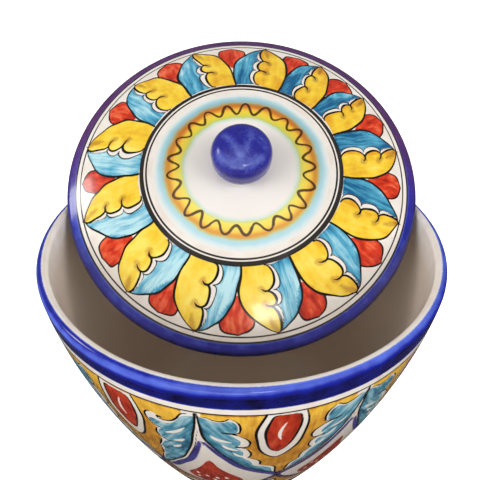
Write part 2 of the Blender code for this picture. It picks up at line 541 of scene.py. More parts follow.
@dataclass(frozen=True)
class TinGlaze:
    """Opaque white tin glaze over earthenware, dipped and fired glossy, with painted colours sunk in it.

    To the eye it is a warm white under a clear wet gloss, with a faint orange-peel surface, shallow
    rings from the throwing, and a few pinholes and iron specks. All lengths are millimetres.
    """

    name: str
    white: str = "#f4eee6"
    shade: str = "#e9ddd0"
    speck: str = "#6b5340"
    ink: str = "#150d09"
    # A darker, warmer white that takes over deep inside, over inner_shade_fade: a painted shade.
    inner: str | None = None
    inner_shade_fade: tuple[float, float] = (-9.5, -18.0)
    bands: Stops = ()
    # Paler bands that take over towards the front, a painted highlight.
    front_highlight_bands: Stops = ()
    band_drift: float = 1.2
    band_streak: float = 0.6
    band_margin: float = 0.5
    lines: tuple[RingLine, ...] = ()
    line_soft: float = 0.12
    ink_fray: float = 0.1
    washes: tuple[Wash, ...] = ()
    roughness: float = 0.16
    coat: float = 0.35
    coat_roughness: float = 0.06
    bristle_spacing: float = 2.38095
    cloud_spacing: float = 9.0909
    fray_spacing: float = 1.25
    wheel_spacing: float = 1.25
    wheel_stretch: float = 0.05
    speck_spacing: float = 9.0
    speck_share: float = 0.72
    peel_spacing: float = 2.6
    peel_depth: float = 0.012
    grain_spacing: float = 0.9
    cobalt_grain: float = 0.9
    throwing_spacing: float = 4.5
    throwing_stretch: float = 0.012
    throwing_depth: float = 0.05

    def dress(self) -> Material:
        """Builds the material.

        Returns:
            The material, which reads the piece's place, flow, ring and tone attributes.
        """
        material, tree, shader = new_material(self.name)
        place = add(tree, "Attribute", attribute_name="place").outputs["Vector"]
        ring = add(tree, "Attribute", attribute_name="ring").outputs["Fac"]
        noises = self.brush_noises(tree, place, ring)
        paint = self.ground(tree, place, ring, noises)
        for wash in self.washes:
            paint = self.lay_wash(tree, paint, wash, noises)
        for line in self.lines:
            paint = self.draw_ring(tree, paint, line, ring, noises)
        paint = self.draw_ink(tree, paint, noises)
        tree.links.new(paint, shader.inputs["Base Color"])
        tree.links.new(self.surface(tree, place, ring), shader.inputs["Normal"])
        gloss = add(tree, "MapRange", {"Value": noises["cloud"], "To Min": self.roughness * 0.7,
                                       "To Max": self.roughness * 1.3})
        tree.links.new(gloss.outputs["Result"], shader.inputs["Roughness"])
        shader.inputs["IOR"].default_value = 1.52
        shader.inputs["Coat Weight"].default_value = self.coat
        shader.inputs["Coat Roughness"].default_value = self.coat_roughness
        return material

    def brush_noises(self, tree: Tree, place: Socket, ring: Socket) -> Noises:
        """Adds the patterns that all paints share.

        Args:
            tree: The node tree.
            place: The place on the piece, in millimetres.
            ring: The distance along the profile, in millimetres.

        Returns:
            streak: bristle marks along the stroke. band: bristle marks round the wheel.
            cloud: thick and thin glaze. fray: ragged edges. tone: how deep the paint was laid.
            place: the place itself.
        """
        flow = add(tree, "Attribute", attribute_name="flow").outputs["Vector"]
        tone = add(tree, "Attribute", attribute_name="tone").outputs["Fac"]
        wheel = self.wheel_place(tree, place, ring, self.wheel_stretch)
        noises = {"tone": tone, "place": place}
        for name, where, spacing, detail, roughness in (
            ("streak", flow, self.bristle_spacing, 3.5, 0.55),
            ("cloud", place, self.cloud_spacing, 3.0, 0.55),
            ("fray", place, self.fray_spacing, 3.0, 0.6),
            ("band", wheel, self.wheel_spacing, 4.0, 0.6),
        ):
            noise = add(tree, "TexNoise", {"Vector": where, "Scale": 1 / spacing, "Detail": detail,
                                           "Roughness": roughness})
            noises[name] = noise.outputs["Fac"]
        return noises

    def wheel_place(self, tree: Tree, place: Socket, ring: Socket, stretch: float) -> Socket:
        """Stretches the place round the piece, so that a pattern on it runs as the wheel turned.

        Args:
            tree: The node tree.
            place: The place on the piece, in millimetres.
            ring: The distance along the profile, in millimetres.
            stretch: What a millimetre round the piece counts for, against one along the profile.

        Returns:
            The stretched place.
        """
        slow = add(tree, "Mapping", {"Vector": place, "Scale": (stretch, stretch, 0.0)})
        along = add(tree, "CombineXYZ", {"Z": ring})
        wheel = add(tree, "VectorMath", {0: slow.outputs["Vector"], 1: along.outputs["Vector"]})
        return wheel.outputs["Vector"]

    def offset(self, tree: Tree, value: Socket, noise: Socket, amount: float) -> Socket:
        """Adds a centred noise to a value.

        Args:
            tree: The node tree.
            value: The value.
            noise: A noise about 0.5.
            amount: How far the noise moves the value each way.

        Returns:
            The moved value.
        """
        centred = add(tree, "Math", {0: noise, 1: -0.5}).outputs[0]
        moved = add(tree, "Math", {0: centred, 1: 2 * amount, 2: value}, operation="MULTIPLY_ADD")
        return moved.outputs[0]

    def ground(self, tree: Tree, place: Socket, ring: Socket, noises: Noises) -> Socket:
        """Builds the white glaze with its specks, and any soft bands turned on the wheel.

        Args:
            tree: The node tree.
            place: The place on the piece, in millimetres.
            ring: The distance along the profile, in millimetres.
            noises: The shared patterns.

        Returns:
            The ground's colour.
        """
        tint = add(tree, "MapRange", {"Value": noises["cloud"], "From Min": 0.35, "From Max": 0.75})
        ground = blend(tree, color(self.white), color(self.shade), tint.outputs["Result"])
        # Deeper inside the pot the white turns darker and warmer: a painted shade.
        if self.inner:
            start, end = self.inner_shade_fade
            painted_shade_inside = add(tree, "MapRange", {"Value": ring, "From Min": start, "From Max": end})
            ground = blend(tree, ground, color(self.inner), painted_shade_inside.outputs["Result"])
        if self.bands:
            ground = self.turn_bands(tree, ground, place, ring, noises)
        cells = add(tree, "TexVoronoi", {"Vector": place, "Scale": 1 / self.speck_spacing})
        dot = add(tree, "MapRange", {"Value": cells.outputs["Distance"], "From Min": 0.022,
                                     "From Max": 0.012})
        rare = add(tree, "SeparateColor", {"Color": cells.outputs["Color"]}).outputs["Red"]
        some = add(tree, "Math", {0: rare, 1: self.speck_share}, operation="GREATER_THAN").outputs[0]
        speck = add(tree, "Math", {0: dot.outputs["Result"], 1: some}, operation="MULTIPLY")
        return blend(tree, ground, color(self.speck), speck.outputs[0])

    def turn_bands(self, tree: Tree, under: Socket, place: Socket, ring: Socket, noises: Noises) -> Socket:
        """Turns wet bands that run into one another round the middle, paler at the front than at the back.

        The paler bands at the front are a painted highlight. Both lists of bands are stretched so that their
        last stop lies where the bands end.

        Args:
            tree: The node tree.
            under: The colour so far.
            place: The place on the piece, in millimetres.
            ring: The distance along the profile, in millimetres.
            noises: The shared patterns.

        Returns:
            The colour with the bands on it.
        """
        end = self.bands[-1][0]
        wet = self.offset(tree, ring, noises["cloud"], self.band_drift)
        wet = self.offset(tree, wet, noises["band"], self.band_streak)
        spread = add(tree, "MapRange", {"Value": wet, "From Max": end}).outputs["Result"]
        soft = []
        for bands in (self.bands, self.front_highlight_bands):
            ramp = add(tree, "ValToRGB", {"Fac": spread})
            soft.append(set_stops(ramp, tuple((where / bands[-1][0], code) for where, code in bands)))
        back = add(tree, "SeparateXYZ", {"Vector": place}).outputs["Y"]
        # Towards the front the paler bands take over: a painted highlight.
        front = add(tree, "MapRange", {"Value": back, "From Min": end / 2, "From Max": -end / 2})
        inside = add(tree, "Math", {0: ring, 1: end - self.band_margin}, operation="LESS_THAN")
        return blend(tree, under, blend(tree, *soft, front.outputs["Result"]), inside.outputs[0])

    def lay_wash(self, tree: Tree, under: Socket, wash: Wash, noises: Noises) -> Socket:
        """Lays one paint over what is there.

        Args:
            tree: The node tree.
            under: The colour so far.
            wash: The paint and how it was laid.
            noises: The shared patterns.

        Returns:
            The colour with the paint on it.
        """
        depth = add(tree, "Attribute", attribute_name=wash.paint.value).outputs["Fac"]
        bristle = noises["band"] if wash.paint is Paint.COBALT else noises["streak"]
        ragged = self.offset(tree, depth, noises["fray"], wash.fray)
        cover = add(tree, "MapRange", {"Value": ragged, "From Min": -wash.soft, "From Max": wash.soft,
                                       "To Max": wash.cover}, interpolation_type="SMOOTHSTEP")
        tone = add(tree, "Math", {0: noises["tone"], 1: wash.tone}).outputs[0]
        tone = self.offset(tree, tone, bristle, wash.streak)
        tone = self.offset(tree, tone, noises["cloud"], wash.cloud)
        pool = add(tree, "MapRange", {"Value": depth, "From Min": 0.0, "From Max": wash.pool_width,
                                      "To Min": wash.pool, "To Max": 0.0})
        tone = add(tree, "Math", {0: tone, 1: pool.outputs["Result"]}, use_clamp=True).outputs[0]
        ramp = add(tree, "ValToRGB", {"Fac": tone})
        paint = set_stops(ramp, ((0.0, wash.thin), (0.5, wash.body), (1.0, wash.deep)))
        return blend(tree, under, paint, cover.outputs["Result"])

    def draw_ring(self, tree: Tree, under: Socket, line: RingLine, ring: Socket, noises: Noises) -> Socket:
        """Draws one ink line round the piece, with the brush held still while the wheel turns.

        Args:
            tree: The node tree.
            under: The colour so far.
            line: The line.
            ring: The distance along the profile, in millimetres.
            noises: The shared patterns.

        Returns:
            The colour with the line on it.
        """
        away = add(tree, "Math", {0: ring, 1: line.ring}, operation="SUBTRACT").outputs[0]
        away = add(tree, "Math", {0: away}, operation="ABSOLUTE").outputs[0]
        away = self.offset(tree, away, noises["cloud"], self.line_soft)
        back = add(tree, "SeparateXYZ", {"Vector": noises["place"]}).outputs["Y"]
        away = add(tree, "Math", {0: back, 1: line.swell / line.ring, 2: away}, operation="MULTIPLY_ADD")
        cover = add(tree, "MapRange", {"Value": away.outputs[0], "From Min": line.half + self.line_soft,
                                       "From Max": line.half - self.line_soft, "To Max": line.strength},
                    interpolation_type="SMOOTHSTEP")
        return blend(tree, under, color(self.ink), cover.outputs["Result"])

    def draw_ink(self, tree: Tree, under: Socket, noises: Noises) -> Socket:
        """Draws the brush lines, near black.

        Args:
            tree: The node tree.
            under: The colour so far.
            noises: The shared patterns.

        Returns:
            The colour with the lines on it.
        """
        depth = add(tree, "Attribute", attribute_name=Paint.INK.value).outputs["Fac"]
        ragged = self.offset(tree, depth, noises["fray"], self.ink_fray)
        cover = add(tree, "MapRange", {"Value": ragged, "From Min": -self.line_soft,
                                       "From Max": self.line_soft}, interpolation_type="SMOOTHSTEP")
        return blend(tree, under, color(self.ink), cover.outputs["Result"])

    def surface(self, tree: Tree, place: Socket, ring: Socket) -> Socket:
        """Builds the glaze's relief: a fine orange peel, grainy in the cobalt, over shallow throwing rings.

        Args:
            tree: The node tree.
            place: The place on the piece, in millimetres.
            ring: The distance along the profile, in millimetres.

        Returns:
            The shading normal.
        """
        peel = add(tree, "TexNoise", {"Vector": place, "Scale": 1 / self.peel_spacing, "Detail": 2.0})
        grain = add(tree, "TexNoise", {"Vector": place, "Scale": 1 / self.grain_spacing, "Detail": 1.0})
        depth = add(tree, "Attribute", attribute_name=Paint.COBALT.value).outputs["Fac"]
        rough = add(tree, "MapRange", {"Value": depth, "To Max": self.cobalt_grain}).outputs["Result"]
        skin = add(tree, "Math", {0: grain.outputs["Fac"], 1: rough, 2: peel.outputs["Fac"]},
                   operation="MULTIPLY_ADD")
        wheel = self.wheel_place(tree, place, ring, self.throwing_stretch)
        rings = add(tree, "TexNoise", {"Vector": wheel, "Scale": 1 / self.throwing_spacing, "Detail": 1.0})
        low = add(tree, "Bump", {"Height": rings.outputs["Fac"], "Distance": self.throwing_depth * MM})
        high = add(tree, "Bump", {"Height": skin.outputs[0], "Distance": self.peel_depth * MM,
                                  "Normal": low.outputs["Normal"]})
        return high.outputs["Normal"]


@dataclass(frozen=True)
class BareClay:
    """Earthenware that the glaze was wiped off and that was fired porous, trimmed on the wheel.

    To the eye it is a matt pinkish buff with pale grains of grog and fine trimming rings. The grog is
    drawn a little coarser than it is, so that it shows. All lengths are millimetres.
    """

    name: str = "bare_earthenware"
    clay: str = "#c9906c"
    dark: str = "#a8714f"
    grog: str = "#e2c3a4"
    mottle_spacing: float = 16.0
    grog_spacing: float = 1.3
    grog_depth: float = 0.05
    trim_spacing: float = 1.6
    trim_depth: float = 0.08
    roughness: float = 0.85

    def dress(self) -> Material:
        """Builds the material.

        Returns:
            The material, which reads the piece's place attribute.
        """
        material, tree, shader = new_material(self.name)
        place = add(tree, "Attribute", attribute_name="place").outputs["Vector"]
        mottle = add(tree, "TexNoise", {"Vector": place, "Scale": 1 / self.mottle_spacing, "Detail": 4.0})
        ramp = add(tree, "ValToRGB", {"Fac": mottle.outputs["Fac"]})
        body = set_stops(ramp, ((0.3, self.dark), (0.7, self.clay)))
        grains = add(tree, "TexVoronoi", {"Vector": place, "Scale": 1 / self.grog_spacing})
        grain = add(tree, "MapRange", {"Value": grains.outputs["Distance"], "From Min": 0.24,
                                       "From Max": 0.14, "To Max": 0.6})
        body = blend(tree, body, color(self.grog), grain.outputs["Result"])
        tree.links.new(body, shader.inputs["Base Color"])
        trim = add(tree, "TexWave", {"Vector": place, "Scale": WAVE_PERIOD / self.trim_spacing,
                                     "Distortion": 0.6}, wave_type="RINGS", rings_direction="Z")
        relief = add(tree, "Bump", {"Height": trim.outputs["Fac"], "Distance": self.trim_depth * MM})
        rough = add(tree, "Bump", {"Height": grains.outputs["Distance"], "Distance": self.grog_depth * MM,
                                   "Normal": relief.outputs["Normal"]})
        tree.links.new(rough.outputs["Normal"], shader.inputs["Normal"])
        shader.inputs["Roughness"].default_value = self.roughness
        shader.inputs["IOR"].default_value = 1.45
        return material


@dataclass(frozen=True)
class CobaltGlaze:
    """Cobalt washed over tin glaze on the knob with a soft brush, and fired glossy.

    To the eye it is a deep navy, paler where the brush dragged it thin and where its tone holds a painted
    highlight, with fine pale specks. All lengths are millimetres.
    """

    name: str = "cobalt_over_tin_glaze"
    deep: str = "#17126a"
    body: str = "#2a2a92"
    thin: str = "#6d7dce"
    speck: str = "#b9c4ee"
    streak_spacing: float = 2.4
    streak: float = 0.7
    streak_depth: float = 0.03
    speck_spacing: float = 1.5
    roughness: float = 0.2
    coat: float = 0.3
    coat_roughness: float = 0.08

    def dress(self) -> Material:
        """Builds the material.

        Returns:
            The material, which reads the knob's place and tone attributes.
        """
        material, tree, shader = new_material(self.name)
        place = add(tree, "Attribute", attribute_name="place").outputs["Vector"]
        tone = add(tree, "Attribute", attribute_name="tone").outputs["Fac"]
        bristle = add(tree, "TexNoise", {"Vector": place, "Scale": 1 / self.streak_spacing, "Detail": 5.0,
                                         "Roughness": 0.65, "Distortion": 0.8}).outputs["Fac"]
        centred = add(tree, "Math", {0: bristle, 1: -0.5}).outputs[0]
        # The tone holds thin brushwork and a painted highlight.
        thin_and_highlight = add(tree, "Math", {0: centred, 1: self.streak, 2: tone}, operation="MULTIPLY_ADD",
                       use_clamp=True)
        ramp = add(tree, "ValToRGB", {"Fac": thin_and_highlight.outputs[0]})
        paint = set_stops(ramp, ((0.0, self.deep), (0.4, self.body), (1.0, self.thin)))
        cells = add(tree, "TexVoronoi", {"Vector": place, "Scale": 1 / self.speck_spacing})
        dot = add(tree, "MapRange", {"Value": cells.outputs["Distance"], "From Min": 0.1, "From Max": 0.05,
                                     "To Max": 0.35})
        paint = blend(tree, paint, color(self.speck), dot.outputs["Result"])
        tree.links.new(paint, shader.inputs["Base Color"])
        relief = add(tree, "Bump", {"Height": bristle, "Distance": self.streak_depth * MM})
        tree.links.new(relief.outputs["Normal"], shader.inputs["Normal"])
        shader.inputs["Roughness"].default_value = self.roughness
        shader.inputs["IOR"].default_value = 1.5
        shader.inputs["Coat Weight"].default_value = self.coat
        shader.inputs["Coat Roughness"].default_value = self.coat_roughness
        return material


BLUE = Wash(Paint.BLUE, "#bee7ee", "#56aecd", "#145f8c", fray=0.25, streak=1.0, cloud=0.35, pool=0.2)
DULL_BLUE = replace(BLUE, thin="#b2d0d6", body="#5494aa", deep="#1d5570")
RED = Wash(Paint.RED, "#f4794d", "#dc3a17", "#981807", fray=0.3, streak=0.9, cloud=0.6, pool=0.12)
DULL_RED = replace(RED, thin="#cf5a36", body="#b83116", deep="#7d1708", streak=0.8)
TOUCH = Wash(Paint.TOUCH, "#f6efe6", "#f2e8dc", "#e6d8c8", cover=0.95, soft=0.2, fray=0.15, streak=0.3,
             pool=0.0)
BROWN = Wash(Paint.BROWN, "#6b3f16", "#47260f", "#2c170b", cover=0.96, soft=0.2, fray=0.15, pool=0.0)
COBALT = Wash(Paint.COBALT, "#5f78e6", "#1a24a2", "#08042e", soft=0.3, fray=0.2, streak=0.13, pool=-0.3)
PLUM = Wash(Paint.VIOLET, "#7a4468", "#5b2d50", "#3f1f3f", cover=0.85, soft=2.5, fray=0.2, streak=0.3,
            pool=0.0)

LID_GLAZE = TinGlaze(
    name="painted_tin_glaze_of_lid",
    bands=(
        (0.0, "#f4eee6"), (27.4, "#f4eee6"), (29.1, "#cfe4cc"), (30.3, "#c9cf6a"), (31.4, "#e0d448"),
        (33.0, "#f0d244"), (35.0, "#f3c440"), (36.3, "#df8e30"), (37.6, "#c97428"), (39.0, "#bb8843"),
        (40.0, "#a9b296"), (41.2, "#93c2cc"), (43.0, "#aed3da"), (44.6, "#dfe6e2"), (46.5, "#f4eee6"),
    ),
    # Paler than the bands above, as a painted highlight on the front of the medallion.
    front_highlight_bands=(
        (0.0, "#f4eee6"), (28.4, "#f4eee6"), (29.8, "#d8eae0"), (30.8, "#dfe08e"), (31.9, "#f2e768"),
        (33.4, "#f9e05c"), (35.2, "#fcda56"), (36.3, "#f5c24a"), (37.6, "#e39f38"), (38.6, "#e0a640"),
        (39.5, "#cfc57e"), (40.4, "#b4dad6"), (42.0, "#b9dfea"), (43.6, "#dbeaea"), (46.0, "#f4eee6"),
    ),
    lines=(
        RingLine(49.6, 0.5), RingLine(52.0, 1.1, swell=0.12), RingLine(85.9, 0.36), RingLine(88.5, 0.45),
    ),
    washes=(
        Wash(Paint.YELLOW, "#ffe76a", "#fad138", "#e6a322", fray=0.3, streak=0.4, cloud=0.8, pool=0.12),
        Wash(Paint.ORANGE, "#dca23c", "#b9792a", "#8a541c", cover=0.62, soft=0.9, fray=0.8),
        BLUE, RED, TOUCH, BROWN, COBALT, PLUM,
    ),
)
POT_GLAZE = TinGlaze(
    name="painted_tin_glaze_of_pot",
    # The darker inside is a painted shade.
    inner="#e0d0c0",
    lines=(RingLine(14.3, 0.46), RingLine(116.6, 0.46), RingLine(134.5, 0.46)),
    washes=(
        Wash(Paint.OCHRE, "#f4c344", "#d0912d", "#9a6018", fray=0.4, streak=0.7, cloud=0.45, pool=0.1),
        Wash(Paint.WHITE, "#efe9e1", "#e6ddd2", "#dacdbe", fray=0.2, streak=0.2, pool=0.0),
        Wash(Paint.VIOLET, "#7a79c4", "#453f94", "#241c5e", soft=0.4, fray=0.3, streak=0.6, pool=0.1),
        DULL_BLUE, DULL_RED, TOUCH, COBALT,
    ),
)
PLAIN_GLAZE = TinGlaze(name="plain_white_tin_glaze")


class Brush:
    """Half the width of each kind of brush stroke in millimetres, at even steps along it."""

    LEAF_RIB = (0.4, 0.6, 0.5, 0.42, 0.5)
    LEAF_TOP = (0.25, 0.42, 0.5, 0.35)
    LEAF_LOBE = (0.25, 0.5, 0.55, 0.4)
    LEAF_HOOK = (0.42, 0.5, 0.6)
    LEAF_SIDE = (0.15, 0.3, 0.3, 0.15)
    LEAF_TOUCH = (0.2, 0.9, 1.0, 0.5)
    LEAF_DARK = (1.0, 1.6, 0.8)
    LEAF_BAND = (0.8, 1.5, 1.7, 1.8, 1.7)
    WEDGE_END = (0.5, 0.45)
    WEDGE_BAND = (1.3, 1.2)
    HEART_DROP = (0.5, 0.95)
    ALMOND = (0.45, 0.58, 0.58, 0.5)
    ALMOND_RED = (0.35, 0.58, 0.5, 0.3)
    ALMOND_GLINT = (0.3, 0.7, 0.8, 0.3)
    PETAL_EDGE = (0.55, 0.5, 0.6, 0.48, 0.28)
    PETAL_YELLOW = (0.35, 0.62, 0.42, 0.66, 0.4, 0.6, 0.3)
    PETAL_BLUE = (0.2, 0.36, 0.2, 0.34, 0.18, 0.3)
    FLICK = (0.5, 0.4, 0.15)
    FLICK_SHADE = (0.4, 1.4, 1.6)
    TIP_SHADE = (0.6, 1.3, 1.0)
    RED_PETAL = (0.3, 0.46, 0.36)


@dataclass
class PaintedPot:
    """The pot: one thrown wall with a rolled lip, on a flat foot that was wiped bare of glaze.

    The seam is where the fine outside meets the coarser inside on the lip, in degrees round its roll.
    A tone below zero is paler and one above is deeper, and each fade lists where its tones hold.
    """

    height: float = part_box("jar_body")[1].z / MM
    rim: float = 99.1
    foot: float = 59.6
    taper: float = 1.53
    wall: float = 5.5
    floor: float = 8.0
    foot_rounding: float = 3.0
    bare_height: float = 0.9
    floor_rounding: float = 20.0
    seam: tuple[float, float] = (95.0, 105.0)
    outside_steps: int = 464
    inside_steps: int = 160
    ornament_rows: int = 68
    wall_rows: int = 18
    low_rows: int = 6
    high_rows: int = 7
    flat_rows: int = 3
    band_start: float = -1.5
    band_end: float = 10.4
    foot_band: tuple[float, float] = (121.0, 131.0)
    ornament_start: float = 14.5
    ornament_end: float = 116.0
    ornament_reach: tuple[float, float] = (10.0, 120.0)
    motifs: int = 9
    first_axis: float = -10.2
    motif_reach: float = 0.75
    # The lip's cobalt tones: pale along the top of the roll at the front, a painted highlight, and deep
    # below.
    lip_highlight_fade: tuple[float, ...] = (-2.0, -0.8, 1.0, 2.4, 4.0, 9.0)
    lip_highlight_tones: tuple[float, ...] = (0.1, -0.3, -0.34, 0.05, 0.4, 0.36)
    ochre_fade: tuple[float, float] = (16.8, 37.32)
    ochre_tones: tuple[float, float] = (-0.45, 0.12)
    leaf_inset: float = 0.2
    leaf_margin: float = 0.6
    rib_tone: float = 0.28
    rib_fade: float = 2.5
    lobe_tone: float = -0.45
    lobe_fade: float = 1.6
    bristle_slant: float = 28.0
    bristle_stretch: float = 0.16
    wedge_band_rise: float = 1.9
    heart_tone: float = 0.12
    drop_length: float = 2.6

    def outer(self, z: float | np.ndarray) -> float | np.ndarray:
        """Gives the outside's distance from the axis at a height."""
        drop = np.maximum(self.height - z, 0.0) / self.height
        return self.rim - (self.rim - self.foot) * drop ** self.taper

    def slope(self, z: float) -> float:
        """Gives how fast the wall flares at a height."""
        drop = max(self.height - z, 0.0) / self.height
        return (self.rim - self.foot) * self.taper / self.height * drop ** (self.taper - 1.0)

    def inner(self, z: float) -> float:
        """Gives the inside's distance from the axis at a height."""
        return float(self.outer(z)) - self.wall * math.hypot(1.0, self.slope(z))

    def corner(
        self, radius_at: Callable[[float], float], base: float, rounding: float, count: int
    ) -> Profile:
        """Rounds a flat floor into the flaring wall.

        Args:
            radius_at: Gives the wall's distance from the axis at a height.
            base: The floor's height.
            rounding: The corner's radius.
            count: How many points.

        Returns:
            The points from the floor to the wall.
        """
        lean = math.atan(self.slope(base + rounding))
        touch = base + rounding * (1.0 - math.sin(lean))
        center = float(radius_at(touch)) - rounding * math.cos(lean)
        return arc((center, base + rounding), rounding, -90.0, -math.degrees(lean), count)

    @property
    def lip_height(self) -> float:
        """Gives the height at which the lip's rounding starts."""
        return self.height - self.wall / 2

    def build(self) -> Object:
        """Turns the outside finely for its painting and the inside coarsely, and joins them at the lip.

        Returns:
            The pot as one closed shell.
        """
        lip = self.lip_height
        foot = self.corner(self.outer, 0.0, self.foot_rounding, 6)
        bowl = self.corner(self.inner, self.floor, self.floor_rounding, 12)
        low = self.height - self.ornament_end
        high = self.height - self.ornament_start
        heights = [
            *between(foot[-1][1], low, self.low_rows + 2)[1:-1],
            *between(low, high, self.ornament_rows),
            *between(high, lip, self.high_rows + 2)[1:-1],
        ]
        center = ((float(self.outer(lip)) + self.inner(lip)) / 2, lip)
        half = (float(self.outer(lip)) - self.inner(lip)) / 2
        outside = [(r, 0.0) for r in between(0.0, foot[0][0], self.flat_rows + 1)[:-1]] + foot
        outside += [(float(self.outer(z)), z) for z in heights] + arc(center, half, 0.0, self.seam[0], 9)
        inside = arc(center, half, self.seam[1], 180.0, 6)
        inside += [(self.inner(z), z) for z in between(lip, bowl[-1][1], self.wall_rows + 2)[1:-1]]
        inside += reversed(bowl)
        inside += [(r, self.floor) for r in between(bowl[0][0], 0.0, self.flat_rows + 1)[1:]]
        shell = turned("painted_pot", outside, self.outside_steps)
        return joined([shell, turned("pot_inside", inside, self.inside_steps)])

    def ring(self, places: np.ndarray) -> np.ndarray:
        """Measures along the profile, from the top of the lip.

        Args:
            places: The pot's vertices in millimetres.

        Returns:
            Each vertex's depth below the rim on the outside, on below the foot, and below zero inside.
        """
        height = places[:, 2]
        radius = np.hypot(places[:, 0], places[:, 1])
        depth = self.height - height
        half = self.wall / 2
        middle = float(self.outer(self.lip_height)) - half
        angle = np.arctan2(height - self.lip_height, radius - middle)
        over = half - half * angle
        inside = half - half * math.pi - (depth - half)
        under = depth + np.maximum(self.foot - radius, 0.0)
        outside = (radius > self.outer(height) - half) | (height < self.floor / 2)
        return np.where(height > self.lip_height, over, np.where(outside, under, inside))

    def flat(self, points: Points, side: int = 1) -> np.ndarray:
        """Turns design points to the flat sheet that one pair of leaves is drawn on.

        Args:
            points: Degrees from the pair's axis, and depth below the rim in millimetres.
            side: 1 for the right half, -1 for the left half.

        Returns:
            Flat places in millimetres: sideways, and down.
        """
        degrees, depth = np.array(points, float).T
        return np.stack([np.radians(side * degrees) * self.outer(self.height - depth), depth], axis=1)

    def curve(self, points: Points, side: int = 1) -> np.ndarray:
        """Draws a flowing curve through design points, on the flat sheet."""
        return smooth_line(self.flat(points, side))

    def paint(self, places: np.ndarray) -> Sheet:
        """Paints the pot.

        Args:
            places: The pot's vertices in millimetres.

        Returns:
            The finished sheet.
        """
        ring = self.ring(places)
        sheet = Sheet(places, ring)
        everywhere = np.arange(len(places))
        for start, end in ((self.band_start, self.band_end), self.foot_band):
            sheet.lay(Paint.COBALT, everywhere, np.minimum(ring - start, end - ring))
        ornament = np.minimum(ring - self.ornament_start, self.ornament_end - ring)
        sheet.lay(Paint.OCHRE, everywhere, ornament)
        sheet.flow = places * np.array((1.0, 1.0, 0.1))
        ochre = np.interp(ring, self.ochre_fade, self.ochre_tones)
        sheet.tone = np.where(ornament > 0, ochre, self.lip_highlight_tone(places, ring))
        turn = np.degrees(np.arctan2(places[:, 0], -places[:, 1]))
        shift = Hand(seed=11, drift=0.45, wavelength=30.0).drift(places)
        shift += Hand(seed=12, drift=0.1, wavelength=13.0).drift(places)
        near = (ring > self.ornament_reach[0]) & (ring < self.ornament_reach[1])
        step = 360.0 / self.motifs
        for count in range(self.motifs):
            off = (turn - self.first_axis - count * step + 180.0) % 360.0 - 180.0
            index = np.flatnonzero((np.abs(off) < self.motif_reach * step) & near)
            across = np.radians(off[index]) * self.outer(places[index, 2])
            patch = Patch(sheet, index, np.stack([across, ring[index]], axis=1) + shift[index])
            self.paint_wedge(patch)
            for leaf in (RIGHT_LEAF, LEFT_LEAF if count % 2 == 0 else PLAIN_LEFT_LEAF):
                self.paint_leaf(patch, leaf, count)
            self.paint_almonds(patch)
        return sheet

    def lip_highlight_tone(self, places: np.ndarray, ring: np.ndarray) -> np.ndarray:
        """Sets the cobalt's tone over the lip: a painted highlight along the top at the front, and deep
        below.

        Args:
            places: The pot's vertices in millimetres.
            ring: Each vertex's distance along the profile.

        Returns:
            The tone at each vertex.
        """
        # The pale top of the roll, kept to the front and reaching lower on the left, is a painted highlight.
        lit = ring + np.clip(3.0 * places[:, 0] / self.rim, -2.0, 1.2)
        rolled = np.interp(lit, self.lip_highlight_fade, self.lip_highlight_tones)
        front = np.clip(-1.6 * places[:, 1] / self.rim, 0.0, 1.0)
        return rolled * np.where(rolled < 0, front, 1.0)

    def paint_leaf(self, patch: Patch, leaf: "Leaf", count: int) -> None:
        """Paints one leaf: its white ground, its blue body with pale strokes, and its black outline.

        Args:
            patch: The vertices near this pair of leaves.
            leaf: The leaf's design.
            count: The number of the pair.
        """
        rib = self.curve(leaf.rib, leaf.side)
        top = self.curve(leaf.top, leaf.side)
        body = self.curve(leaf.body, leaf.side)
        lobes = [self.curve(lobe, leaf.side) for lobe in leaf.lobes]
        patch.lay(Paint.WHITE, patch.inside(top, *lobes, rib[::-1]))
        self.wash_leaf(patch, leaf, count, rib, body)
        for touch in leaf.touches:
            patch.stroke(Paint.TOUCH, self.curve(touch, leaf.side), Brush.LEAF_TOUCH)
        band = rib[len(rib) // 3:]
        run = np.gradient(band, axis=0)
        inward = np.stack([-run[:, 1], run[:, 0]], axis=1) * leaf.side
        inward /= np.linalg.norm(inward, axis=1)[:, None]
        patch.stroke(Paint.VIOLET, band + inward * leaf.band_gap, Brush.LEAF_BAND)
        if leaf.side < 0:
            beside = rib[len(rib) // 6: 5 * len(rib) // 6] + np.array(BESIDE_RIB)
            patch.stroke(Paint.INK, beside, Brush.LEAF_SIDE)
        patch.stroke(Paint.INK, rib, Brush.LEAF_RIB)
        patch.stroke(Paint.INK, top, Brush.LEAF_TOP)
        for lobe in lobes:
            patch.stroke(Paint.INK, lobe, Brush.LEAF_LOBE)
        for hook in leaf.hooks:
            patch.stroke(Paint.INK, self.curve(hook, leaf.side), Brush.LEAF_HOOK)

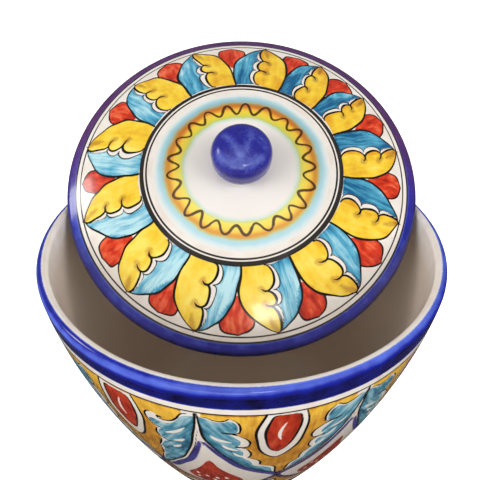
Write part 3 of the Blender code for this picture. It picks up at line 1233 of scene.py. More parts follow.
    def wash_leaf(self, patch: Patch, leaf: "Leaf", count: int, rib: np.ndarray, body: np.ndarray) -> None:
        """Lays a leaf's blue, deep along its rib and in one dark stroke, and thin at its lobes.

        Args:
            patch: The vertices near this pair of leaves.
            leaf: The leaf's design.
            count: The number of the pair.
            rib: The rib's line on the flat sheet.
            body: The blue's outline, from the rib's start to its end.
        """
        blue = patch.inside(body, rib[::-1])
        patch.lay(Paint.BLUE, blue - self.leaf_inset)
        near_rib = np.exp(-patch.away(rib) / self.rib_fade)
        near_edge = np.exp(-patch.away(body) / self.lobe_fade)
        dark = stroke_depth(patch.spots, self.curve(leaf.dark, leaf.side), Brush.LEAF_DARK)
        tone = self.rib_tone * near_rib + self.lobe_tone * near_edge
        tone += leaf.depth * np.clip(dark + self.leaf_margin, 0.0, 1.0)
        on_leaf = blue > -self.leaf_margin
        chosen = patch.index[on_leaf]
        patch.sheet.tone[chosen] = tone[on_leaf]
        slant = math.radians(leaf.side * self.bristle_slant)
        spots = patch.spots[on_leaf]
        across = spots[:, 0] * math.cos(slant) - spots[:, 1] * math.sin(slant)
        along = spots[:, 0] * math.sin(slant) + spots[:, 1] * math.cos(slant)
        seed = np.full(len(chosen), 7.0 * count + 3.0 * leaf.side)
        patch.sheet.flow[chosen] = np.stack([across, along * self.bristle_stretch, seed], axis=1)

    def paint_wedge(self, patch: Patch) -> None:
        """Paints the white wedge between two leaves, with its red heart and pale drops.

        Args:
            patch: The vertices near this pair of leaves.
        """
        right = self.curve((*RIGHT_LEAF.rib, *WEDGE_END))
        left = self.curve((*LEFT_LEAF.rib, *WEDGE_END_LEFT), -1)
        patch.lay(Paint.WHITE, patch.inside(right, left[::-1]))
        patch.lay(Paint.WHITE, patch.inside(self.flat(WHITE_TOP)))
        for leaf, end in ((RIGHT_LEAF, WEDGE_END), (LEFT_LEAF, WEDGE_END_LEFT)):
            line = self.curve((leaf.rib[-1], *end), leaf.side)
            patch.stroke(Paint.INK, line, Brush.WEDGE_END)
            patch.stroke(Paint.VIOLET, line - np.array((0.0, self.wedge_band_rise)), Brush.WEDGE_BAND)
        heart = patch.inside(self.curve(HEART), self.curve(HEART_LEFT, -1)[::-1])
        patch.lay(Paint.RED, heart)
        patch.sheet.tone[patch.index[heart > -TONE_MARGIN]] = self.heart_tone
        for drop in DROPS:
            top = self.flat((drop,))[0]
            low = top + np.array((0.0, self.drop_length))
            patch.stroke(Paint.TOUCH, np.stack([top, low]), Brush.HEART_DROP)

    def paint_almonds(self, patch: Patch) -> None:
        """Paints the red almond that hangs between two pairs of leaves, and the small one under it.

        Args:
            patch: The vertices near this pair of leaves.
        """
        for outer, inner in ((ALMOND, ALMOND_RED), (SMALL_ALMOND, SMALL_RED)):
            right, left = self.almond_side(outer), self.almond_side(outer, -1)
            patch.lay(Paint.WHITE, patch.inside(right, left[::-1]))
            red_right, red_left = self.almond_side(inner), self.almond_side(inner, -1)
            red = patch.inside(red_right, red_left[::-1])
            patch.lay(Paint.RED, red)
            patch.sheet.tone[patch.index[red > -TONE_MARGIN]] = 0.0
            for line in (right, left):
                patch.stroke(Paint.INK, line, Brush.ALMOND)
            for line in (red_right, red_left):
                patch.stroke(Paint.INK, line, Brush.ALMOND_RED)
        patch.stroke(Paint.TOUCH, self.almond_side(ALMOND_GLINT), Brush.ALMOND_GLINT)

    def almond_side(self, half: Points, side: int = 1) -> np.ndarray:
        """Draws one side of an almond on the flat sheet.

        Args:
            half: Its right side, as degrees from the almond's axis and depth below the rim.
            side: 1 for the right side, -1 for the left side.

        Returns:
            The side's curve, from the top down.
        """
        return self.curve(tuple((ALMOND_AXIS + side * degrees, depth) for degrees, depth in half))


def ripple(angles: np.ndarray, waves: tuple[tuple[float, float, float], ...]) -> np.ndarray:
    """Adds up sine waves that run round a circle.

    Args:
        angles: Where on the circle, in radians.
        waves: Each wave's size, its number round the circle and its phase in radians.

    Returns:
        The waves' sum at each angle.
    """
    return sum(size * np.sin(count * angles + phase) for size, count, phase in waves)


@dataclass
class PaintedLid:
    """The lid's cover: a low thrown dome with a rolled edge, painted with petals round a medallion.

    The seam is where the fine top meets the coarser underside on the roll, in degrees round it. Rows are
    counted over the medallion, the ornament and the edge. The edge's cobalt has its tones where the fade
    lists them, paler along the top of the roll and deeper beneath it as painted highlight and painted shade,
    and paler towards the left as painted light from that side. It turns plum towards the back over
    plum_fade millimetres for one of depth.
    """

    radius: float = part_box("lid_cover")[1].x / MM
    edge: float = 3.0
    shoulder: float = 20.0
    rise: float = 13.5
    power: float = 2.5
    wall: float = 5.0
    seam: tuple[float, float] = (-60.0, -72.0)
    top_steps: int = 560
    under_steps: int = 160
    fine_reach: tuple[float, float] = (27.0, 90.0)
    rows: tuple[int, int, int] = (10, 78, 4)
    under_rows: int = 20
    under_offset: float = 20.0
    band_start: float = 88.8
    band_end: float = 98.6
    # The edge's cobalt tones: a painted highlight along the top of the roll, painted shade beneath, and paler
    # to the left.
    edge_shading_fade: tuple[float, ...] = (90.0, 92.0, 93.5, 96.0)
    edge_shading_tones: tuple[float, ...] = (-0.03, 0.01, 0.27, 0.41)
    edge_light_tilt: float = 0.06
    plum_border: float = 4.0
    plum_fade: float = 14.0
    petal_zone: tuple[float, float] = (48.0, 90.0)
    petal_base: float = 53.4
    petal_tip: float = 85.2
    petal_reach: float = 24.0
    red_top: float = 85.6
    red_middle: float = 77.0
    red_reach: float = 12.0
    red_outset: float = 0.15
    red_gap: float = 0.25
    red_stretch: tuple[float, float] = (0.9, 0.35)
    seed: int = 5
    waves: int = 21
    wave_zone: tuple[float, float] = (28.0, 43.0)
    wave_middle: float = 35.4
    wave_reach: float = 3.0
    wave_fullness: float = 0.85
    wave_points: int = 24
    wave_drift: float = 0.5
    wave_half: float = 0.66
    wave_swell: float = 0.14
    wave_pace: float = 1.7
    wave_presses: int = 40

    @property
    def edge_middle(self) -> float:
        """Gives the rolled edge's distance from the axis, at the middle of its roll."""
        return self.radius - self.edge

    @property
    def dome_foot(self) -> Place:
        """Gives the place where the dome runs into the rolled edge."""
        lean = math.radians(self.shoulder)
        return self.edge_middle + self.edge * math.sin(lean), self.edge * math.cos(lean)

    def top(self, r: float) -> float:
        """Gives the upper surface's height above the edge's plane."""
        foot_r, foot_z = self.dome_foot
        return foot_z + self.rise * (1.0 - (r / foot_r) ** self.power)

    def under(self, r: float) -> float:
        """Gives the lower surface's height above the edge's plane."""
        rise = self.top(0.0) - self.wall + self.edge
        return rise * (1.0 - (r / self.edge_middle) ** self.power) - self.edge

    def build(self) -> Object:
        """Turns the top finely for its painting and the underside coarsely, and joins them at the edge.

        Returns:
            The cover as one closed shell, lying level with its axis on Z.
        """
        foot_r, _ = self.dome_foot
        start, end = self.fine_reach
        middle_rows, fine_rows, edge_rows = self.rows
        radii = [*between(0.0, start, middle_rows)[:-1], *between(start, end, fine_rows)[:-1]]
        radii += between(end, foot_r, edge_rows)
        roll = (self.edge_middle, 0.0)
        top = [(r, self.top(r)) for r in radii]
        top += arc(roll, self.edge, 90 - self.shoulder, self.seam[0], 12)[1:]
        underside = arc(roll, self.edge, self.seam[1], -90.0, 3)[:-1]
        underside += [(r, self.under(r)) for r in between(self.edge_middle, 0.0, self.under_rows)]
        shell = turned("painted_lid", top, self.top_steps)
        return joined([shell, turned("lid_underside", underside, self.under_steps)])

    def ring(self, places: np.ndarray) -> np.ndarray:
        """Measures along the profile, from the axis outwards.

        Args:
            places: The cover's vertices in millimetres, lying level.

        Returns:
            Each vertex's distance from the axis on top, on round the edge, and further on beneath.
        """
        radius = np.hypot(places[:, 0], places[:, 1])
        foot_r, _ = self.dome_foot
        angle = np.degrees(np.arctan2(places[:, 2], radius - self.edge_middle))
        round_edge = foot_r + np.radians(90.0 - self.shoulder - angle) * self.edge
        on_edge = (radius > self.edge_middle) & (angle < 90.0 - self.shoulder)
        on_top = places[:, 2] > np.array([self.under(r) for r in radius]) + self.wall / 2
        under = foot_r + self.under_offset + (self.radius - radius)
        return np.where(on_edge, round_edge, np.where(on_top, radius, under))

    def paint(self, places: np.ndarray) -> Sheet:
        """Paints the lid.

        Args:
            places: The cover's vertices in millimetres, lying level.

        Returns:
            The finished sheet.
        """
        ring = self.ring(places)
        sheet = Sheet(places, ring)
        everywhere = np.arange(len(places))
        edge = np.minimum(ring - self.band_start, self.band_end - ring)
        sheet.lay(Paint.COBALT, everywhere, edge)
        plum = np.minimum(self.plum_border * edge, places[:, 1] / self.plum_fade)
        sheet.lay(Paint.VIOLET, everywhere, plum)
        # Paler on the top of the roll and towards the left, deeper beneath: painted highlight and painted
        # shade.
        rolled = np.interp(ring, self.edge_shading_fade, self.edge_shading_tones)
        sheet.tone = rolled + self.edge_light_tilt * places[:, 0] / self.radius
        turn = np.degrees(np.arctan2(places[:, 0], places[:, 1])) % 360.0
        shift = Hand(seed=21, drift=0.4, wavelength=30.0).drift(places)
        shift += Hand(seed=22, drift=0.2, wavelength=9.0).drift(places)
        self.paint_wave(sheet, turn, shift)
        spots = places[:, :2] + shift
        chance = np.random.default_rng(self.seed)
        edges = [*PETAL_EDGES[-1:], *PETAL_EDGES]
        petals = [Petal(self, left, right, chance) for left, right in zip(edges, PETAL_EDGES)]
        zone = np.flatnonzero((ring > self.petal_zone[0]) & (ring < self.petal_zone[1]))
        all_petals = np.full(len(places), -FAR)
        for count, petal in enumerate(petals):
            index = zone[np.abs((turn[zone] - petal.middle + 180.0) % 360.0 - 180.0) < self.petal_reach]
            outline = petal.paint(Patch(sheet, index, spots[index]), count)
            all_petals[index] = np.maximum(all_petals[index], outline)
        for angle in PETAL_EDGES:
            index = zone[np.abs((turn[zone] - angle + 180.0) % 360.0 - 180.0) < self.red_reach]
            self.paint_red(Patch(sheet, index, spots[index]), angle, all_petals[index], chance)
        return sheet

    def paint_wave(self, sheet: Sheet, turn: np.ndarray, shift: np.ndarray) -> None:
        """Paints the brown wavy line in the medallion, with waves that hurry, wobble and press unevenly.

        Args:
            sheet: The lid's sheet.
            turn: Each vertex's angle in degrees, clockwise from the back.
            shift: The hand's drift at each vertex.
        """
        index = np.flatnonzero((sheet.ring > self.wave_zone[0]) & (sheet.ring < self.wave_zone[1]))
        around = np.radians(turn[index])
        angles = np.linspace(0.0, 2 * math.pi, self.waves * self.wave_points + 1)
        hurry = ripple(angles, ((0.28, 5, 1.0), (0.22, 8, 0.0)))
        wobble = ripple(angles, ((0.12, 3, 2.0), (0.1, 7, 0.0)))
        swing = np.sin(self.waves * angles + hurry)
        swing = np.sign(swing) * np.abs(swing) ** self.wave_fullness
        line = self.wave_middle + self.wave_reach * (1.0 + wobble) * swing
        radius = sheet.ring[index] + shift[index, 0] * self.wave_drift
        spots = np.stack([radius * np.sin(around), radius * np.cos(around)], axis=1)
        points = np.stack([line * np.sin(angles), line * np.cos(angles)], axis=1)
        swells = [math.sin(self.wave_pace * count) for count in range(self.wave_presses)]
        pressure = tuple(self.wave_half + self.wave_swell * swell for swell in swells)
        patch = Patch(sheet, index, spots)
        for start in range(0, len(points) - 1, self.wave_points):
            low = start * len(pressure) // len(points)
            patch.stroke(Paint.BROWN, points[start:start + self.wave_points + 1], pressure[low:low + 2])

    def paint_red(self, patch: Patch, angle: float, petals: np.ndarray, chance: np.random.Generator) -> None:
        """Paints one red petal, which shows between the tips of two large ones.

        Args:
            patch: The vertices near it.
            angle: Its direction in degrees, clockwise from the back.
            petals: How deep each spot lies inside the large petals.
            chance: The source of its irregularity.
        """
        turn = math.radians(angle)
        out = np.array((math.sin(turn), math.cos(turn)))
        side = np.array((out[1], -out[0]))
        width = chance.uniform(0.92, 1.08)
        blunt = chance.uniform(0.0, 1.0)
        lean = chance.uniform(-0.8, 0.8)
        widest = 7.5
        tip = (0.0, self.red_top - 1.5 * blunt)
        shape = [(0.0, 66.5), (3.2, 70.0), (6.7, 75.0), (widest, 79.2), (4.9 + 1.4 * blunt, 82.6), tip]
        half = [side * (x * width) + out * (r + lean * x / widest) for x, r in shape]
        other = [side * (-x * width) + out * (r - lean * x / widest) for x, r in reversed(shape[:-1])]
        right = smooth_line(np.array(half))
        left = smooth_line(np.array([half[-1], *other]))
        red = patch.inside(right[:-1], left[:-1])
        patch.lay(Paint.RED, np.minimum(red + self.red_outset, -petals - self.red_gap))
        near = red > -TONE_MARGIN
        chosen = patch.index[near]
        patch.sheet.tone[chosen] = chance.uniform(-0.15, 0.1)
        spots = patch.spots[near] - out * self.red_middle
        across, along = self.red_stretch
        seed = np.full(len(chosen), angle)
        patch.sheet.flow[chosen] = np.column_stack([spots @ side * across, spots @ out * along, seed])
        for line in (right[len(right) // 2:], left[:len(left) // 2]):
            stroke = stroke_depth(patch.spots, line, Brush.RED_PETAL)
            patch.lay(Paint.INK, np.minimum(stroke, -petals))


class Petal:
    """One large petal: a blue half, a white scalloped rib and a yellow half, in a black outline.

    Places on it are t, from 0 at its base to 1 at its tip, and s, from -1 at its blue edge to 1 at its
    yellow edge. A swing round the lid is given as its size, the angle of its peak in radians clockwise
    from the back, and its level.
    """

    EDGE_POINTS = 24
    PAST_TIP = 1.04
    LOBE_POINTS = 14
    YELLOW_LOBES = (-0.18, -0.12, -0.1)
    YELLOW_DIPS = (0.1, 0.06)
    YELLOW_INSET = 0.15
    BLUE_LOBES = (-0.36, -0.27, -0.17)
    BLUE_DIPS = (-0.12, -0.08)
    BLUE_INSET = 0.25
    FLICK = ((0.0, 0.0), (-0.012, 0.09), (-0.05, 0.18))
    TIP = ((0.78, 0.15), (0.9, 0.08), (0.98, 0.0))
    BLUE_SWING = (0.38, 1.0, -0.1)
    YELLOW_SWING = (0.2, 0.4, -0.05)
    TIP_LOAD = 0.9
    TIP_START = 0.7
    BASE_LOAD = 0.8
    BASE_END = 0.28
    LOAD_REACH = 0.3
    YELLOW_SHARE = 0.5
    BRISTLE_STRETCH = 0.13
    FULLNESS = (3.1, 0.84)

    def __init__(self, lid: PaintedLid, left: float, right: float, chance: np.random.Generator) -> None:
        """Sets the petal out.

        Args:
            lid: The lid that it is painted on.
            left: The edge that it shares with the petal before, in degrees clockwise from the back.
            right: The edge that it shares with the petal after.
            chance: The source of its irregularity.
        """
        self.base = lid.petal_base
        self.tip = lid.petal_tip
        self.half = ((right - left) % 360.0) / 2
        self.middle = (left + self.half) % 360.0
        self.lean = chance.uniform(-1.6, 0.6)
        self.cusps = (0.35 + chance.uniform(-0.03, 0.05), 0.64 + chance.uniform(-0.03, 0.05))
        self.rib = chance.uniform(-0.06, 0.06)

    def place(self, t: float, s: float) -> Place:
        """Gives a place on the petal.

        Args:
            t: 0 at its base and 1 at its tip.
            s: -1 at its blue edge and 1 at its yellow edge, at its base.

        Returns:
            The flat place in millimetres.
        """
        r = self.base + t * (self.tip - self.base)
        turn = math.radians(self.middle + self.lean * t + s * self.half)
        return r * math.sin(turn), r * math.cos(turn)

    def half_width(self, t: float) -> float:
        """Gives how far the outline stands from the middle, as a share of the base's half."""
        inner, outer = self.FULLNESS
        return (1.0 - min(t, 1.0) ** inner) ** outer

    def edge(self, side: int) -> np.ndarray:
        """Draws the outline of one side, from the base to just past the tip."""
        steps = [*between(0.0, 1.0, self.EDGE_POINTS), self.PAST_TIP]
        return np.array([self.place(t, side * self.half_width(t)) for t in steps])

    def scallops(self, depths: tuple[float, float, float], dips: Place) -> np.ndarray:
        """Draws three lobes in a row, from the base to the tip.

        Args:
            depths: How far each lobe bulges, as s.
            dips: Where the two cusps between them lie, as s.

        Returns:
            The flat points of the whole line.
        """
        stations = [(0.0, dips[0] * 0.6), (self.cusps[0], dips[0]), (self.cusps[1], dips[1]), (1.0, 0.0)]
        points = []
        for (t_a, s_a), (t_b, s_b), bulge in zip(stations, stations[1:], depths):
            for turn in between(0.0, math.pi, self.LOBE_POINTS):
                u = (1.0 - math.cos(turn)) / 2
                chord = s_a + (s_b - s_a) * u
                s = chord + (bulge - (s_a + s_b) / 2) * math.sin(turn)
                points.append(self.place(t_a + (t_b - t_a) * u, s + self.rib * (1 - u * t_b)))
        return np.array(points)

    def tail(self, t: float, s: float) -> np.ndarray:
        """Draws the short flick that runs from a cusp into the yellow."""
        return smooth_line([self.place(t + step, s + swerve) for step, swerve in self.FLICK])

    def paint(self, patch: Patch, count: int) -> np.ndarray:
        """Paints the petal.

        Args:
            patch: The vertices near it.
            count: Its number.

        Returns:
            How deep each spot lies inside the petal.
        """
        left = self.edge(-1)
        right = self.edge(1)
        yellow_line = self.scallops(self.YELLOW_LOBES, self.YELLOW_DIPS)
        blue_line = self.scallops(self.BLUE_LOBES, self.BLUE_DIPS)
        whole = patch.inside(left, right[::-1])
        yellow = patch.inside(yellow_line, right[::-1])
        patch.lay(Paint.YELLOW, yellow - self.YELLOW_INSET)
        patch.lay(Paint.BLUE, patch.inside(blue_line, left[::-1]) - self.BLUE_INSET)
        self.set_tone(patch, whole, count)
        for t, s in zip(self.cusps, self.YELLOW_DIPS):
            flick = self.tail(t, s + self.rib * (1 - t))
            patch.stroke(Paint.INK, flick, Brush.FLICK)
            shade = stroke_depth(patch.spots, flick, Brush.FLICK_SHADE)
            patch.lay(Paint.ORANGE, np.minimum(shade, yellow))
        tip = smooth_line([self.place(t, s) for t, s in self.TIP])
        shade = stroke_depth(patch.spots, tip, Brush.TIP_SHADE)
        patch.lay(Paint.ORANGE, np.minimum(shade, yellow))
        for line in (left, right):
            patch.stroke(Paint.INK, line, Brush.PETAL_EDGE)
        patch.stroke(Paint.INK, yellow_line, Brush.PETAL_YELLOW)
        patch.stroke(Paint.INK, blue_line, Brush.PETAL_BLUE)
        return whole

    def swing(self, size: float, peak: float, level: float) -> float:
        """Gives this petal's share of a value that swings round the lid."""
        return size * math.cos(math.radians(self.middle) - peak) + level

    def set_tone(self, patch: Patch, whole: np.ndarray, count: int) -> None:
        """Sets the petal's tone, deeper towards the back right and at its tip and base, and which way the
        brush ran.

        Args:
            patch: The vertices near the petal.
            whole: How deep each spot lies inside the petal.
            count: Its number.
        """
        on_petal = whole > -TONE_MARGIN
        chosen = patch.index[on_petal]
        spots = patch.spots[on_petal]
        turn = math.radians(self.middle)
        out = np.array((math.sin(turn), math.cos(turn)))
        side = np.array((out[1], -out[0]))
        along = (spots @ out - self.base) / (self.tip - self.base)
        across = spots @ side
        blue = self.swing(*self.BLUE_SWING)
        yellow = self.swing(*self.YELLOW_SWING)
        ends = self.TIP_LOAD * np.clip(along - self.TIP_START, 0.0, self.LOAD_REACH)
        ends += self.BASE_LOAD * np.clip(self.BASE_END - along, 0.0, self.LOAD_REACH)
        patch.sheet.tone[chosen] = np.where(across < 0, blue + ends, yellow + self.YELLOW_SHARE * ends)
        seed = np.full(len(chosen), 5.0 * count)
        patch.sheet.flow[chosen] = np.column_stack([across, spots @ out * self.BRISTLE_STRETCH, seed])


@dataclass
class LocatingRing:
    """The ring luted under the cover, which keeps the lid in the mouth: white, with its foot wiped bare.

    It stands play millimetres inside the mouth, and a gap stands for the joint that lutes it to the cover.
    """

    play: float = 4.5
    depth: float = 7.0
    wall: float = 4.5
    taper: float = 3.0
    rounding: float = 1.5
    gap: float = 0.3
    bare_height: float = 0.35
    steps: int = 240

    def build(self, pot: PaintedPot, lid: PaintedLid) -> Object:
        """Turns the ring.

        Args:
            pot: The pot whose mouth it fits.
            lid: The cover that it hangs from.

        Returns:
            The ring as one closed shell, lying level with its axis on Z.
        """
        outer = pot.inner(pot.lip_height) - self.play
        inner = outer - self.wall
        low_outer = outer - self.taper
        low_inner = low_outer - self.wall
        bottom = -lid.edge - self.depth
        top = [(r, lid.under(r) - self.gap) for r in between(outer, inner, 6)]
        center = bottom + self.rounding
        inside = arc((low_inner + self.rounding, center), self.rounding, -180.0, -90.0, 7)
        outside = arc((low_outer - self.rounding, center), self.rounding, -90.0, 0.0, 7)
        down = straight((inner, top[-1][1]), (low_inner, center), 4)
        up = straight((low_outer, center), (outer, top[0][1]), 4)
        return turned("locating_ring", [*top, *down, *inside, *outside, *up, top[0]], self.steps)

    def paint(self, places: np.ndarray) -> Sheet:
        """Leaves the ring white, without a mark."""
        return Sheet(places, places[:, 2])


@dataclass
class Knob:
    """The knob: a squat solid bun on a short neck, with glaze pooled where it meets the crown.

    Pool is the pooled glaze's rounding, and it ends a clearance above the crown. Tone is how thin the
    cobalt lies away from the dabs, pale patches that are partly thin brushwork and partly a painted
    highlight, which reach dabbed_depth down and melt over dab_fade on both sides.
    """

    radius: float = 15.2
    shoulder: float = 7.5
    side: float = 2.5
    belly: float = 8.0
    top_rise: float = 1.0
    neck: float = 9.5
    neck_height: float = 2.4
    gap: float = 0.3
    pool: float = 1.2
    clearance: float = 0.02
    steps: int = 144
    tone: float = 0.31
    dab_fade: float = 2.0
    dabbed_depth: float = 10.0

    def build(self, lid: PaintedLid) -> Object:
        """Turns the knob.

        Args:
            lid: The cover that it stands on.

        Returns:
            The knob as one closed shell, with its axis on Z.
        """
        seat = lid.top(0.0) + self.gap
        flat = self.radius - self.shoulder
        belly_r = self.radius - self.belly
        neck_angle = math.degrees(math.acos((self.neck - belly_r) / self.belly))
        belly_z = seat + self.neck_height + self.belly * math.sin(math.radians(neck_angle))
        shoulder_z = belly_z + self.side
        top_z = shoulder_z + self.shoulder
        top = [(r, top_z + self.top_rise * (1.0 - (r / flat) ** 2)) for r in between(0.0, flat, 14)]
        shoulder = arc((flat, shoulder_z), self.shoulder, 90.0, 0.0, 16)[1:]
        side = [(self.radius, z) for z in between(shoulder_z, belly_z, 7)[1:-1]]
        belly = arc((belly_r, belly_z), self.belly, 0.0, -neck_angle, 16)
        foot = lid.top(self.neck + self.pool) + self.clearance
        pool = arc((self.neck + self.pool, foot + self.pool), self.pool, 180.0, 270.0, 7)
        under = [(r, lid.top(r) + self.clearance) for r in between(self.neck, 0.0, 5)]
        return turned("knob", [*top, *shoulder, *side, *belly, *pool, *under], self.steps)

    def paint(self, places: np.ndarray) -> Sheet:
        """Sets the pale cobalt, partly a painted highlight: a soft V on the top, and patches round the side.

        Args:
            places: The knob's vertices in millimetres, with its axis on Z.

        Returns:
            The sheet, of which the knob's glaze reads the tone.
        """
        sheet = Sheet(places, places[:, 2])
        below = places[:, 2].max() - places[:, 2]
        sheet.tone = np.full(len(places), self.tone)
        # The dabs are partly thin brushwork and partly a painted highlight.
        for line, reach, gain in KNOB_DABS_AND_HIGHLIGHT:
            dab = stroke_depth(places[:, :2], smooth_line(line), (reach,))
            pale_dab = np.clip((dab + self.dab_fade) / (2 * self.dab_fade), 0.0, 1.0)
            sheet.tone += gain * pale_dab * (below < self.dabbed_depth)
        return sheet


@dataclass(frozen=True)
class Leaf:
    """One leaf of a pair on the pot, as degrees from the pair's axis and millimetres below the rim."""

    side: int
    top: Points
    lobes: tuple[Points, ...]
    hooks: tuple[Points, ...]
    rib: Points
    body: Points
    touches: tuple[Points, ...]
    dark: Points
    depth: float
    band_gap: float


def narrowed(points: Points) -> Points:
    """Draws the lower part of a leaf nearer to the pair's axis.

    Args:
        points: A line of the leaf, as degrees from the axis and depth below the rim.

    Returns:
        The line, drawn in from a third of the leaf's length down.
    """
    start, run, share = 38.0, 38.0, 0.22
    drops = [min(max((depth - start) / run, 0.0), 1.0) for _, depth in points]
    return tuple((degrees * (1.0 - share * drop), depth) for (degrees, depth), drop in zip(points, drops))


RIGHT_LEAF = Leaf(
    side=1,
    top=((0.7, 17.2), (2.4, 17.6), (4.1, 19.4), (6.1, 19.4), (7.8, 17.2)),
    lobes=(
        ((8.3, 17.6), (9.8, 20.2), (10.3, 24.6), (10.0, 29.0)),
        ((9.2, 31.2), (11.5, 34.8), (12.3, 38.5), (12.0, 42.2)),
        ((10.9, 43.9), (12.2, 46.6), (13.0, 50.2), (12.9, 53.2), (12.0, 56.1)),
        ((12.6, 56.8), (14.9, 59.8), (15.7, 63.4), (15.5, 67.1)),
        ((16.0, 68.6), (18.8, 71.5), (20.0, 74.4), (20.5, 78.8), (21.4, 84.7)),
    ),
    hooks=(
        ((10.0, 29.0), (8.6, 29.9), (5.8, 29.6)),
        ((6.9, 30.4), (8.2, 30.6), (9.2, 31.2)),
        ((12.0, 42.2), (10.6, 43.3), (8.6, 42.5)),
        ((8.9, 43.2), (10.0, 43.2), (10.9, 43.9)),
    ),
    rib=(
        (0.1, 15.0), (0.5, 23.8), (1.0, 31.2), (1.8, 38.5), (3.5, 48.0),
        (6.4, 58.3), (10.3, 67.8), (14.9, 75.2), (20.0, 81.8), (22.5, 86.0),
    ),
    body=(
        (0.6, 17.4), (2.3, 18.4), (4.1, 20.2), (6.1, 20.2), (7.9, 18.6), (9.4, 21.0), (9.8, 24.6),
        (9.5, 28.6), (8.0, 30.6), (8.6, 33.0), (9.9, 36.5), (9.9, 40.0), (8.9, 43.4), (10.3, 46.6),
        (11.0, 50.2), (10.7, 53.8), (11.0, 57.0), (12.6, 60.4), (13.4, 64.0), (13.9, 67.6),
        (16.6, 70.6), (18.6, 74.0), (19.4, 78.0), (21.0, 84.2),
    ),
    touches=(
        ((2.9, 32.3), (4.6, 36.2), (7.5, 38.5)),
        ((5.2, 40.7), (6.6, 44.6), (9.2, 46.6)),
        ((7.8, 48.8), (9.2, 53.2), (12.0, 55.4)),
    ),
    dark=((9.0, 20.6), (9.3, 23.0), (9.0, 25.0)),
    depth=0.6,
    band_gap=1.7,
)
PLAIN_LEFT_LEAF = Leaf(
    side=-1,
    top=narrowed(RIGHT_LEAF.top),
    lobes=tuple(narrowed(lobe) for lobe in RIGHT_LEAF.lobes),
    hooks=tuple(narrowed(hook) for hook in RIGHT_LEAF.hooks),
    rib=narrowed(RIGHT_LEAF.rib),
    body=narrowed(RIGHT_LEAF.body),
    touches=tuple(narrowed(touch) for touch in RIGHT_LEAF.touches),
    dark=RIGHT_LEAF.dark,
    depth=0.6,
    band_gap=2.9,
)
LEFT_LEAF = Leaf(
    side=-1,
    top=((1.0, 16.4), (3.3, 17.4), (4.7, 22.0), (6.1, 24.7), (8.4, 26.4)),
    lobes=(
        ((9.9, 22.6), (11.5, 22.2), (12.8, 24.7), (13.0, 29.0), (12.2, 33.0)),
        ((11.0, 37.2), (11.7, 42.2), (11.2, 46.4)),
        ((11.4, 49.2), (12.2, 54.0), (13.6, 59.8)),
        ((13.7, 61.6), (14.2, 68.0), (14.6, 72.0)),
        ((14.9, 73.6), (15.8, 78.0), (17.2, 85.5), (18.0, 89.0)),
    ),
    hooks=(
        ((8.4, 26.4), (9.6, 25.4), (9.3, 24.0), (8.5, 24.4)),
        ((12.2, 33.0), (11.4, 35.0), (10.0, 35.6)),
        ((11.2, 46.4), (9.6, 48.6), (8.2, 48.3)),
        ((13.6, 59.8), (12.0, 62.0), (11.0, 61.5)),
    ),
    rib=(
        (0.3, 15.0), (0.6, 23.8), (1.0, 31.2), (1.6, 38.5), (3.1, 48.0),
        (5.0, 58.3), (7.5, 67.8), (10.4, 75.2), (13.4, 82.5), (16.0, 88.0),
    ),
    body=(
        (0.8, 17.6), (3.2, 19.0), (4.9, 23.4), (6.5, 26.8), (8.8, 28.6), (10.8, 27.6), (12.4, 29.0),
        (12.3, 32.0), (11.2, 34.6), (10.0, 36.4), (10.8, 39.0), (11.3, 43.0), (10.8, 46.6),
        (9.8, 48.8), (11.1, 51.6), (12.1, 56.0), (13.1, 60.0), (12.8, 62.0), (13.5, 66.0),
        (14.0, 71.0), (14.8, 76.0), (16.0, 82.0), (17.8, 88.6),
    ),
    touches=(
        ((3.0, 28.2), (5.6, 34.5), (8.7, 39.2)),
        ((3.9, 40.7), (5.4, 43.8), (7.3, 45.8)),
        ((5.8, 49.5), (7.2, 52.6), (8.4, 54.7)),
    ),
    dark=((3.4, 44.0), (5.0, 50.0), (7.4, 56.0)),
    depth=0.25,
    band_gap=3.0,
)
# How far beside the rib of a left leaf its thin second line runs, sideways and down.
BESIDE_RIB = (1.5, 0.6)
WHITE_TOP = ((-3.4, 14.4), (1.3, 14.4), (0.9, 17.6), (-0.6, 19.8), (-3.2, 19.2))
WEDGE_END = ((21.6, 93.0), (17.0, 102.0), (10.0, 108.6), (0.0, 111.4))
WEDGE_END_LEFT = ((16.8, 93.0), (14.6, 102.0), (9.0, 108.6), (0.0, 111.4))
HEART = (
    (0.8, 62.7), (2.0, 66.0), (3.2, 72.0), (5.4, 80.0), (8.6, 88.0), (10.4, 95.0), (9.2, 102.0),
    (5.0, 106.2), (0.0, 107.4),
)
HEART_LEFT = (
    (-0.7, 62.8), (0.4, 66.0), (1.6, 72.0), (3.8, 80.0), (6.8, 88.0), (9.0, 95.0), (8.0, 102.0),
    (4.6, 106.2), (0.1, 107.4),
)
DROPS = ((-4.6, 88.0), (-1.6, 91.5), (1.6, 92.5), (4.6, 90.5), (-5.4, 96.0), (0.2, 98.6), (5.6, 97.0))
ALMOND_AXIS = 19.7
ALMOND = (
    (4.7, 14.5), (5.5, 21.0), (5.9, 28.0), (5.9, 34.0), (5.5, 40.0), (4.7, 46.0), (3.4, 51.5),
    (1.8, 55.8), (0.0, 58.3),
)
ALMOND_RED = (
    (1.6, 15.9), (3.2, 16.9), (3.8, 21.0), (4.0, 26.0), (4.0, 30.5), (3.8, 35.0), (3.2, 40.5),
    (2.3, 45.4), (1.2, 49.2), (0.0, 51.2),
)
ALMOND_GLINT = ((0.1, 22.5), (-0.5, 26.0), (-0.75, 30.0), (-0.5, 34.0), (0.2, 37.5))
SMALL_ALMOND = ((0.0, 96.0), (2.6, 101.0), (3.6, 107.0), (2.4, 112.4), (0.0, 114.2))
SMALL_RED = ((0.0, 99.2), (1.4, 102.4), (2.1, 107.0), (1.3, 110.6), (0.0, 111.8))
